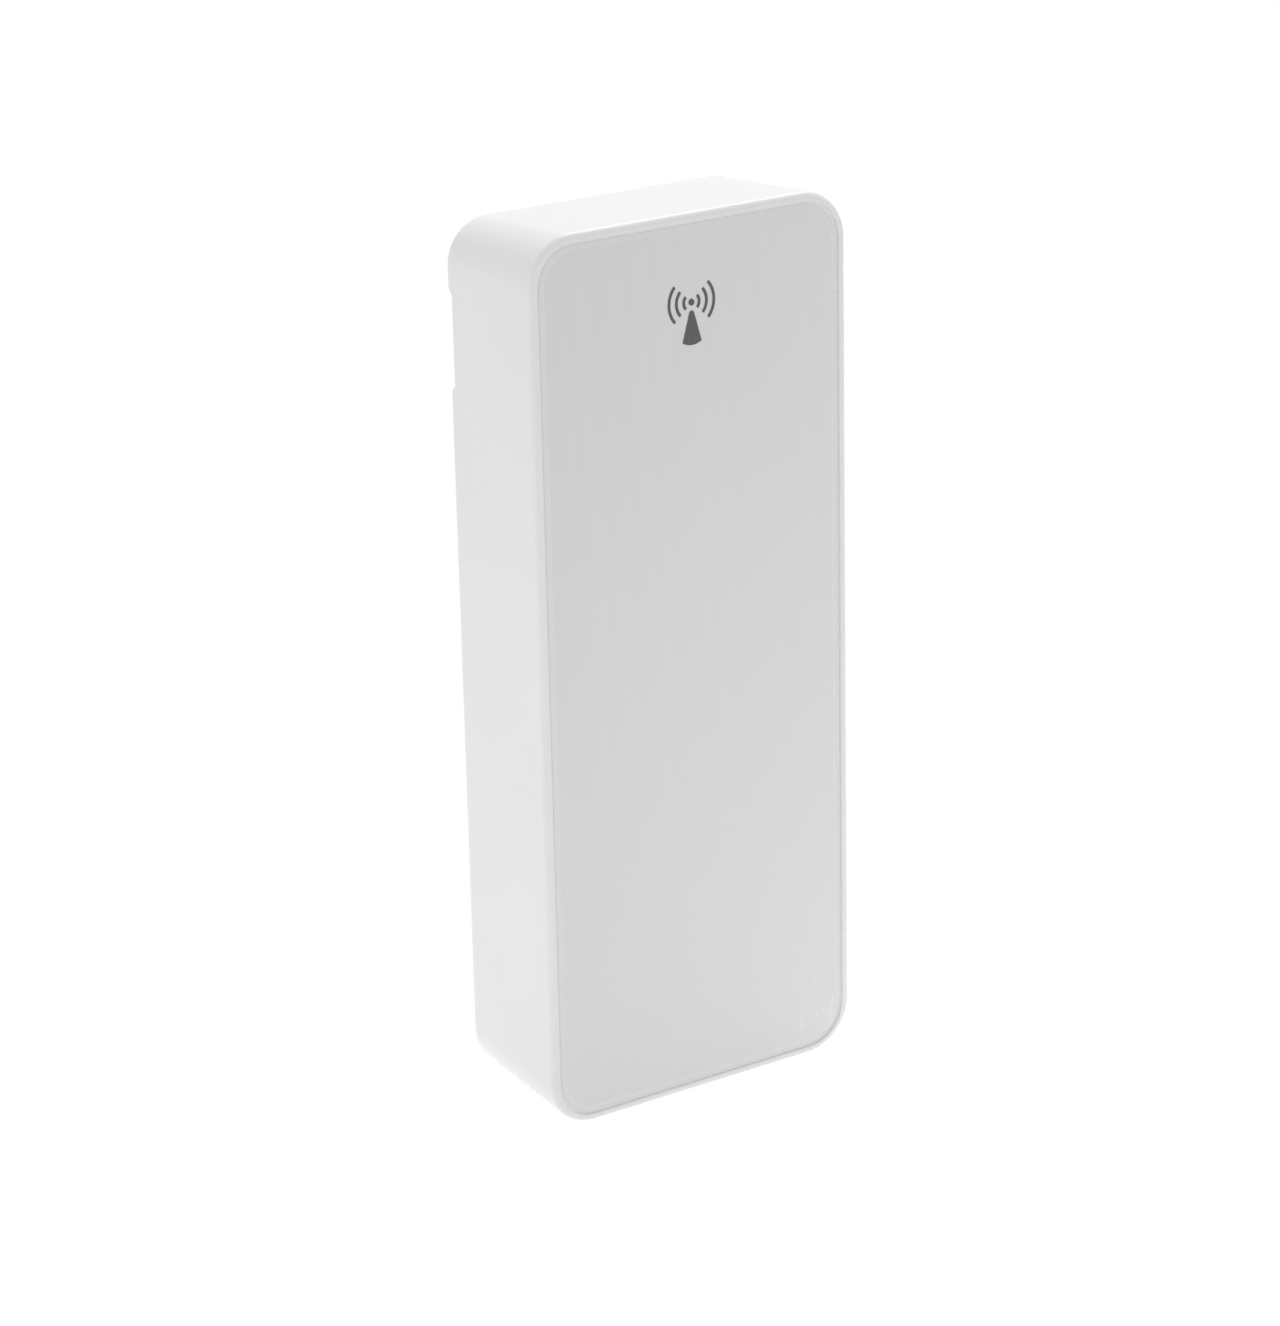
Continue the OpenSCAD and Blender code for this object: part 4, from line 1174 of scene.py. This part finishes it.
def spring_line(x, seat_z, out):
    """Cone of turns from a plate's face towards the cell, each end with a flat turn."""
    steps = curls * turn_points
    line = []
    for i in range(steps + 1):
        share = i / steps
        rise = min(max((share - spring_flat) / (1 - 2 * spring_flat), 0.0), 1.0)
        angle = 2 * math.pi * i / turn_points
        radius = spring_wide + (spring_narrow - spring_wide) * share
        z = wire_radius + (spring_high - 2 * wire_radius) * rise
        across = x + radius * math.cos(angle)
        along = cell_y + radius * math.sin(angle)
        line.append((across, along, seat_z + out * z))
    return line


def dimple(x, seat_z, out):
    """Low pressed dome on a plate's face."""
    top = dome(dimple_radius, dimple_high, 0, (0, 12, 25, 40, 55, 70, 82))
    made = turned([(dimple_radius, -sheet_thick / 2)] + top, sides=40)
    return lay(made, (x, cell_y, seat_z), (0, 0, 0) if out > 0 else (math.pi, 0, 0))


def stamped(x0, x1, z0):
    """Flat plate with rounded corners, as it comes out of the stamping tool."""
    plate = block((x0, bay_low.y, z0), (x1, bay_high.y, z0 + sheet_thick))
    edit(plate)
    pick(plate, "edges", lambda edge: abs(edge.verts[0].co.z - edge.verts[1].co.z) > sheet_thick / 2)
    bpy.ops.mesh.bevel(offset=0.9 * mm, segments=5, affect="EDGES")
    leave()
    return plate


plating = metal("contact_plating", (0.6 * mm, 3.0),
                ((0.64, 0.63, 0.60), (0.76, 0.75, 0.72)), (0.20, 0.38), deep=0.005 * mm)
print("cells at x = %.2f mm, springs %.1f mm high" % (cell_x / mm, spring_high / mm))

# %% [markdown]
# Two contacts lie over the upper ends of the cells, one dimpled and one sprung, each with a tab that
# lies against the board, where it is soldered. The third joins the lower ends, with one dimple and
# one spring. Plate and tab are fused into one mesh. The dimple or the spring is only joined to them,
# which is simpler, and can't be seen.

# %% Three contacts
upper_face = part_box("positive_contact")[0].z + dimple_high
tab_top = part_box("positive_contact")[1].z
tab_half = 1.0 * mm
edge_break = 0.06 * mm

for name, x in (("positive_contact", -cell_x), ("negative_contact", cell_x)):
    plate = stamped(x - sheet_half, x + sheet_half, upper_face)
    strip = block((x - tab_half, board_high.y, upper_face + sheet_thick / 2),
                  (x + tab_half, board_high.y + sheet_thick, tab_top))
    plate = round_edges(fuse(plate, strip), edge_break)
    if x < 0:
        extra = dimple(x, upper_face, -1)
    else:
        extra = wire_along(spring_line(x, upper_face, -1), wire_radius)
    place_piece(joined(plate, extra), name + "_stamping", "sensor_body", "contact_steel", plating, name)

lower_face = bay_low.z + sheet_thick
bridge = round_edges(stamped(-cell_x - sheet_half, cell_x + sheet_half, bay_low.z), edge_break)
bridge = joined(bridge, dimple(cell_x, lower_face, 1),
                wire_along(spring_line(-cell_x, lower_face, 1), wire_radius))
place_piece(bridge, "bridge_contact_stamping", "sensor_body", "contact_steel", plating, "bridge_contact")

# %% [markdown]
# The board is glass fibre with a green solder mask. Under the mask the copper tracks show as lighter
# lines, in runs that keep to two directions, and small tinned holes are scattered between them. A
# brick pattern makes the tracks, because its joints are just such lines, a slow noise says where
# there are any, and a cell pattern sets the holes.

# %% Circuit board
solder_mask = Finish("board_green")
flat_on = solder_mask.add("ShaderNodeMapping")
flat_on.inputs["Rotation"].default_value = (math.pi / 2, 0, 0)
solder_mask.join(solder_mask.place, flat_on.inputs["Vector"])


def tracks(row, length, line):
    """Lines of this width, in rows of this height that are broken at this length, in millimetres."""
    brick = solder_mask.add("ShaderNodeTexBrick")
    brick.inputs["Scale"].default_value = 1 / mm
    brick.inputs["Brick Width"].default_value = length
    brick.inputs["Row Height"].default_value = row
    brick.inputs["Mortar Size"].default_value = line
    brick.inputs["Mortar Smooth"].default_value = 0.1
    solder_mask.join(flat_on.outputs[0], brick.inputs["Vector"])
    return brick.outputs["Fac"]


region = solder_mask.span(solder_mask.noise(9 * mm, 1.0), 0.0, 1.0, 0.49, 0.51)
cloud = solder_mask.noise(0.5 * mm, 2.0)
mask_tone = solder_mask.blend(cloud, (0.006, 0.085, 0.030), (0.009, 0.105, 0.038))
track_tone = (0.022, 0.200, 0.075)
fine_tracks = solder_mask.blend(tracks(0.8, 7.3, 0.10), mask_tone, track_tone)
wide_tracks = solder_mask.blend(tracks(2.6, 4.1, 0.28), mask_tone, track_tone)
green = solder_mask.blend(region, fine_tracks, wide_tracks)
holes = solder_mask.add("ShaderNodeTexVoronoi")
holes.inputs["Scale"].default_value = 1 / (3.4 * mm)
solder_mask.join(solder_mask.place, holes.inputs["Vector"])
ring = solder_mask.span(holes.outputs["Distance"], 1.0, 0.0, 0.085, 0.10)
solder_mask.set("Base Color", solder_mask.blend(ring, green, (0.62, 0.60, 0.55)))
solder_mask.set("Roughness", 0.32)
solder_mask.set("Normal", solder_mask.bump(tracks(0.8, 7.3, 0.10), 0.02 * mm, 0.5))

board = broken_edges("circuit_board", fine_rounding)
place_piece(board, "circuit_board_plate", "sensor_body", "board_green", solder_mask, "circuit_board")

# %% [markdown]
# The parts on the board are small, and each has its own stuff: black epoxy, tinned legs, drawn cans,
# a gold-plated lid, enamelled copper, a red lamp of clear resin. Where the packed shape is right, a
# copy with broken edges is enough, and faces past a given place get a second material, such as the
# legs' tin. Round and bent parts are turned or drawn as wire again.

# %% Finishes of the small parts
tin = metal("tinned_leads", (0.25 * mm, 3.0),
            ((0.55, 0.55, 0.54), (0.70, 0.70, 0.69)), (0.30, 0.50), deep=0.005 * mm)
drawn_can = metal("drawn_can", (0.12 * mm, 3.0, (1, 0.08, 1)),
                  ((0.66, 0.66, 0.65), (0.76, 0.76, 0.75)), (0.24, 0.40), stain=(2 * mm, 2.0))
gold = metal("gold_lid", (0.15 * mm, 3.0),
             ((0.80, 0.56, 0.22), (0.90, 0.66, 0.30)), (0.22, 0.36), deep=0.003 * mm)
enamel = metal("enamelled_copper", (0.8 * mm, 2.0),
               ((0.62, 0.23, 0.075), (0.76, 0.32, 0.12)), (0.22, 0.34))
enamel.set("Coat Weight", 0.6)

epoxy = moulded("epoxy_black", grey(0.022), 0.55, grain=0.08 * mm, deep=0.006 * mm, drift=0.15)
button_black = moulded("control_black", grey(0.030), 0.42, grain=0.15 * mm, deep=0.006 * mm, drift=0.12)
switch_grey = moulded("switch_grey", grey(0.075), 0.50, grain=0.12 * mm, deep=0.006 * mm, drift=0.10)
ceramic = moulded("ceramic_buff", (0.46, 0.40, 0.30), 0.60, grain=0.06 * mm, deep=0.005 * mm, drift=0.06)
print("finishes in use:", len(bpy.data.materials))


def coat_where(piece, finish, wanted):
    """Gives the faces whose middle passes the test a second material."""
    piece.data.materials.append(finish.material)
    slot_number = len(piece.data.materials) - 1
    for face in piece.data.polygons:
        if wanted(face.center):
            face.material_index = slot_number


def softened(node, name, body, slot, finish, width):
    """Finished copy of a packed node with broken edges."""
    return place_piece(broken_edges(node, width), name, body, slot, finish, node)


# %% [markdown]
# The controller is a flat square of black epoxy, narrower at its top so that it leaves its mould, with
# a round dint that marks its first leg. Its legs are gull wings: each comes out of the side, bends
# down and lies flat on the board. One leg is a strip whose end is pushed out and down, step by step,
# and then thickened. An Array modifier makes the row, and a copy turned half round is the other row.

# %% Controller chip
parts_y = board_high.y
chip_low, chip_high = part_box("controller_chip")
chip_z = (chip_low.z + chip_high.z) / 2
chip_half = (chip_high.z - chip_low.z) / 2
leg_count = 8
leg_pitch = 2 * chip_half / leg_count
leg_thick = 0.16 * mm
stand = 0.14 * mm
narrower = 0.95
dint = chip_half * 0.72
dint_radius = 0.35 * mm
dint_deep = 0.08 * mm

body = block((-chip_half, parts_y + stand, chip_z - chip_half),
             (chip_half, chip_high.y, chip_z + chip_half))
edit(body)
pick(body, "faces", lies_at(1, chip_high.y))
bpy.ops.transform.resize(value=(narrower, 1, narrower), center_override=(0, chip_high.y, chip_z))
leave()
cut(body, rod(-dint, chip_z + dint, dint_radius,
              chip_high.y - dint_deep, chip_high.y + overrun, sides=24))
round_edges(body, fine_rounding)
place_piece(body, "controller_chip_body", "sensor_body", "chip_black", epoxy, "controller_chip")


def chip_leg():
    """One gull-wing leg at the right side of the chip: out of the body, down, and flat on the board."""
    wide = leg_pitch * 0.42
    bpy.ops.mesh.primitive_plane_add(size=1, location=(chip_half - 0.1 * mm, parts_y + 0.65 * mm, 0))
    leg = bpy.context.active_object
    leg.scale = (0.2 * mm, wide, 1)
    leg.rotation_euler = (math.pi / 2, 0, 0)
    settle(leg)
    edit(leg)
    end = max(v.co.x for v in leg.data.vertices)
    for out, up in ((0.12, 0), (0.10, -0.10), (0.06, -0.35), (0.12, -0.12), (0.35, -0.02)):
        pick(leg, "edges", lies_at(0, end))
        bpy.ops.mesh.extrude_edges_move(TRANSFORM_OT_translate={"value": (out * mm, up * mm, 0)})
        end += out * mm
    leave()
    return modify(leg, "SOLIDIFY", thickness=leg_thick, offset=0)


right_legs = chip_leg()
modify(right_legs, "ARRAY", count=leg_count, use_relative_offset=False, use_constant_offset=True,
       constant_offset_displace=(0, 0, leg_pitch))
lay(right_legs, (0, 0, chip_z - chip_half + leg_pitch / 2))
left_legs = lay(copy_of(right_legs), (0, 0, 2 * chip_z), (0, math.pi, 0))
legs = soft_shading(joined(right_legs, left_legs))
place_piece(legs, "controller_chip_legs", "sensor_body", "chip_black", tin, "controller_chip")

# %% [markdown]
# The radio sits under a drawn tin can that keeps its waves in, with six holes that let the solder's
# heat through. The resonator has a ceramic base and a gold-plated lid, the crystal an oval can, and
# the small chip parts have tinned ends. All of these keep their packed shapes, with broken edges.

# %% Shield, resonator, crystal and chip parts
shield_low, shield_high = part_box("radio_shield")
shield = clean_copy("radio_shield")
shield_mid = (shield_low + shield_high) / 2
shield_hole = 0.45 * mm
column_step = 2.2 * mm
row_step = 1.6 * mm
for column in (-1, 0, 1):
    for row in (-1, 1):
        x = shield_mid.x + column * column_step
        z = shield_mid.z + row * row_step
        cut(shield, rod(x, z, shield_hole, shield_high.y - 0.6 * mm, shield_high.y + overrun, sides=24))
round_edges(shield, 0.10 * mm)
place_piece(shield, "radio_shield_can", "sensor_body", "tin_can", drawn_can, "radio_shield")

resonator = softened("resonator", "resonator_case", "sensor_body", "gold_lid", ceramic, 0.08 * mm)
base_top = parts_y + 0.7 * mm
coat_where(resonator, gold, lambda middle: middle.y > base_top + 0.02 * mm)
softened("crystal_can", "crystal_can_case", "sensor_body", "tin_can", drawn_can, 0.22 * mm)

chips = softened("chip_components", "chip_component_set", "sensor_body", "chip_parts", epoxy, fine_rounding)
chips_low, chips_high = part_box("chip_components")
chips_x = (chips_low.x + chips_high.x) / 2
chips_end = (chips_high.x - chips_low.x) / 2 - 0.3 * mm
coat_where(chips, tin, lambda middle: abs(middle.x - chips_x) > chips_end)

# %% [markdown]
# The antenna is a coil of enamelled copper wire along the board. Its line is a helix, which is
# computed point by point like the springs'. One end is led straight down to the board, and the other
# ends free, as an antenna's does.

# %% Antenna coil
coil_low, coil_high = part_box("antenna_coil")
coil_wire = 0.3 * mm
coil_radius = 1.9 * mm
coil_pitch = 1.2 * mm
coil_turns = 8
coil_x = (coil_low.x + coil_high.x) / 2
coil_y = parts_y + coil_radius + 2 * coil_wire
coil_z = coil_low.z + coil_wire
coil_points = 24
coil_line = [(coil_x - coil_radius, parts_y, coil_z)]
for i in range(coil_turns * coil_points + 1):
    angle = math.pi - 2 * math.pi * i / coil_points
    across = coil_x + coil_radius * math.cos(angle)
    out = coil_y + coil_radius * math.sin(angle)
    coil_line.append((across, out, coil_z + coil_pitch * i / coil_points))
coil_line.append((coil_line[-1][0], coil_y + 2 * coil_wire, coil_line[-1][2]))
coil = wire_along(coil_line, coil_wire)
place_piece(coil, "antenna_coil_wire", "sensor_body", "antenna_copper", enamel, "antenna_coil")

# %% [markdown]
# The thermistor is the reason for the whole thing: a drop of black epoxy on two wires, which stands
# free behind the vents, so that it feels the room's air and not the case. The drop is turned, with
# its tail towards the wires. Its wires leave close together and spread to the board's holes.

# %% Thermistor
bead_low, bead_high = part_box("thermistor")
bead_x = (bead_low.x + bead_high.x) / 2
lead = 0.22 * mm
bead = 1.1 * mm
bead_z = (bead_low.z + bead_high.z) / 2
bead_y = bead_high.y - bead
drop = turned([
    (0.30 * mm, -1.9 * mm), (0.50 * mm, -1.75 * mm), (0.72 * mm, -1.3 * mm), (0.92 * mm, -0.75 * mm),
    (1.05 * mm, -0.3 * mm), (bead, 0.05 * mm), (1.03 * mm, 0.4 * mm), (0.84 * mm, 0.73 * mm),
    (0.55 * mm, 0.96 * mm), (0.2 * mm, 1.08 * mm)])
drop = soft_shading(lay(drop, (bead_x, bead_y, bead_z), rear_facing), 60)
place_piece(drop, "thermistor_bead", "sensor_body", "bead_black", epoxy, "thermistor")
lead_gap = 1.27 * mm
bends = ((1.05 * mm, -3.1 * mm), (0.35 * mm, -2.1 * mm), (0.25 * mm, -1.5 * mm))
path = [(lead_gap, bead_low.y), (lead_gap, bead_y - 3.6 * mm)]
path += [(apart, bead_y + back) for apart, back in bends]
wires = [wire_along([(bead_x + side * apart, y, bead_z) for apart, y in path], lead) for side in (-1, 1)]
place_piece(joined(*wires), "thermistor_leads", "sensor_body", "bead_black", tin, "thermistor")

# %% [markdown]
# The lamp flashes when the sensor sends. It is a small red light with a round nose and a rim at its
# foot, which points forward through a hole in the case's front wall, to the dot in the printed
# figure. Its clear resin lets part of the light through.

# %% Indicator lamp
lens_radius = 1.5 * mm
lens_base = board_low.y
lens_long = lens_base - lamp_low.y
nose = dome(lens_radius, lens_radius, lens_long - lens_radius, (0, 12, 24, 36, 48, 60, 72, 82))
lens = turned([
    (lens_radius + lead, 0), (lens_radius + lead, 0.9 * mm),
    (lens_radius + 0.1 * mm, 1.0 * mm), (lens_radius, 1.0 * mm)] + nose)
lens = soft_shading(lay(lens, (0, lens_base, lamp_z), (math.pi / 2, 0, 0)))
resin = Finish("lamp_resin")
swirl = resin.noise(0.5 * mm, 2.0)
resin.set("Base Color", resin.blend(swirl, (0.62, 0.020, 0.018), (0.74, 0.035, 0.028)))
resin.set("Roughness", resin.span(swirl, 0.10, 0.20))
resin.set("Transmission Weight", 0.55)
resin.set("IOR", 1.5)
place_piece(lens, "indicator_lamp_lens", "sensor_body", "led_red", resin, "indicator_led")
stubs = joined(*[wire_along([(x, lens_base - 0.5 * mm, lamp_z), (x, lamp_high.y, lamp_z)], lead)
                 for x in (-lead_gap, lead_gap)])
place_piece(stubs, "indicator_lamp_leads", "sensor_body", "led_red", tin, "indicator_led")

# %% [markdown]
# The capacitor is a drawn can on a plastic plinth with two cut corners, which show which way round it
# goes. The can has a waist above the plinth, where it is pinched onto its seal, and a dark mark on
# its top for the minus side.

# %% Capacitor
tank_low, tank_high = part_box("capacitor")
tank_x = (tank_low.x + tank_high.x) / 2
tank_z = (tank_low.z + tank_high.z) / 2
tank_radius = (tank_high.x - tank_low.x) / 2
tank_long = tank_high.y - parts_y
neck = tank_long / 6
waist = tank_radius - 0.22 * mm
tank = turned([
    (tank_radius - 0.5 * mm, neck * 0.9), (tank_radius - 0.1 * mm, neck * 1.05),
    (tank_radius, neck * 1.2), (tank_radius, neck * 1.6), (waist, neck * 1.8), (waist, neck * 2.0),
    (tank_radius, neck * 2.2), (tank_radius, tank_long - 0.3 * mm),
    (tank_radius - 0.09 * mm, tank_long - 0.09 * mm), (tank_radius - 0.3 * mm, tank_long),
    (tank_radius - 0.6 * mm, tank_long), (tank_radius - 0.7 * mm, tank_long - 0.08 * mm)])
tank = soft_shading(lay(tank, (tank_x, parts_y, tank_z), rear_facing), 30)
place_piece(tank, "capacitor_can", "sensor_body", "capacitor_can", drawn_can, "capacitor")
stripe_z = tank_z + tank_radius * 0.35
coat_where(tank, epoxy, lambda middle: middle.y > tank_high.y - 0.1 * mm and middle.z > stripe_z)
base_half = tank_radius - lead / 2
plinth = block((tank_x - base_half, parts_y, tank_z - base_half),
               (tank_x + base_half, parts_y + neck, tank_z + base_half))


def upper_corner(edge):
    """Test for the edges that run off the board at the plinth's upper corners."""
    one, other = (v.co for v in edge.verts)
    return abs(one.y - other.y) > neck / 2 and one.z > tank_z


edit(plinth)
pick(plinth, "edges", upper_corner)
bpy.ops.mesh.bevel(offset=0.8 * mm, segments=1, affect="EDGES")
leave()
round_edges(plinth, 0.06 * mm)
place_piece(plinth, "capacitor_plinth", "sensor_body", "capacitor_can", epoxy, "capacitor")

# %% [markdown]
# Two controls reach through the deck of the recess. The transmit button is a turned cap with a
# slightly hollow top, which a fingertip finds. The channel knob is a small square block, with ridges
# across its way so that a fingernail can push it.

# %% Switch bodies
cap_low, cap_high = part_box("transmit_button")
cap_radius = (cap_high.x - cap_low.x) / 2
cap_x = (cap_low.x + cap_high.x) / 2
cap_z = (cap_low.z + cap_high.z) / 2
key_half = 3.0 * mm
key_side = key_half - 0.01 * mm
key_leg_top = parts_y + 0.4 * mm
key = softened("transmit_switch", "transmit_switch_body", "sensor_body", "switch_grey",
               switch_grey, small_rounding)
coat_where(key, tin, lambda middle: abs(middle.x - cap_x) > key_side and middle.y < key_leg_top)
softened("channel_switch", "channel_switch_body", "sensor_body", "tin_can", drawn_can, small_rounding)

# %% Button and knob
cap_long = cap_high.y - cap_low.y
cap = turned([
    (cap_radius - 0.10 * mm, 0), (cap_radius, 0.10 * mm), (cap_radius, cap_long - 0.40 * mm),
    (cap_radius - 0.05 * mm, cap_long - 0.20 * mm), (cap_radius - 0.16 * mm, cap_long - 0.06 * mm),
    (cap_radius - 0.32 * mm, cap_long), (cap_radius - 0.55 * mm, cap_long - 0.02 * mm),
    (cap_radius - 0.95 * mm, cap_long - 0.09 * mm), (0.3 * mm, cap_long - 0.13 * mm)])
cap = soft_shading(lay(cap, (cap_x, cap_low.y, cap_z), rear_facing), 40)
place_piece(cap, "transmit_button_cap", "transmit_button", "control_black", button_black,
            "transmit_button")

knob_low, knob_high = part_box("channel_knob")
knob_x = (knob_low.x + knob_high.x) / 2
knob = block(knob_low, knob_high)
notch_step = 0.42 * mm
notch_half = 0.09 * mm
notch_deep = 0.16 * mm
for number in (-1, 0, 1):
    x = knob_x + number * notch_step
    cut(knob, block((x - notch_half, knob_high.y - notch_deep, knob_low.z - overrun),
                    (x + notch_half, knob_high.y + overrun, knob_high.z + overrun)))
round_edges(knob, fine_rounding)
place_piece(knob, "channel_knob_block", "channel_knob", "control_black", button_black,
            "channel_knob")

# %% [markdown]
# The three places of the knob are numbered on the recess's floor, in the same ink as the figure in
# front. Each numeral is a text object that is given a little thickness and made a mesh.

# %% Channel numbers
knob_travel = 2.0 * mm
knob_proud = 1.2 * mm
deck_face = knob_high.y - knob_proud
numeral_size = 2.0 * mm
numeral_thick = 0.06 * mm
numeral_rise = 2.2 * mm
numeral_z = cap_z + numeral_rise
numerals = []
for text, place in (("1", 1), ("2", 0), ("3", -1)):
    bpy.ops.object.text_add()
    numeral = bpy.context.active_object
    numeral.data.body = text
    numeral.data.size = numeral_size
    numeral.data.extrude = numeral_thick
    numeral.data.align_x = "CENTER"
    numeral.data.resolution_u = 4
    only(numeral)
    bpy.ops.object.convert(target="MESH")
    numeral = bpy.context.active_object
    merge_points(numeral)
    x = knob_x + place * knob_travel
    numerals.append(lay(numeral, (x, deck_face, numeral_z), (math.pi / 2, 0, math.pi)))
place_piece(joined(*numerals), "channel_numbers", "sensor_body", "dark_print", ink)

# %% [markdown]
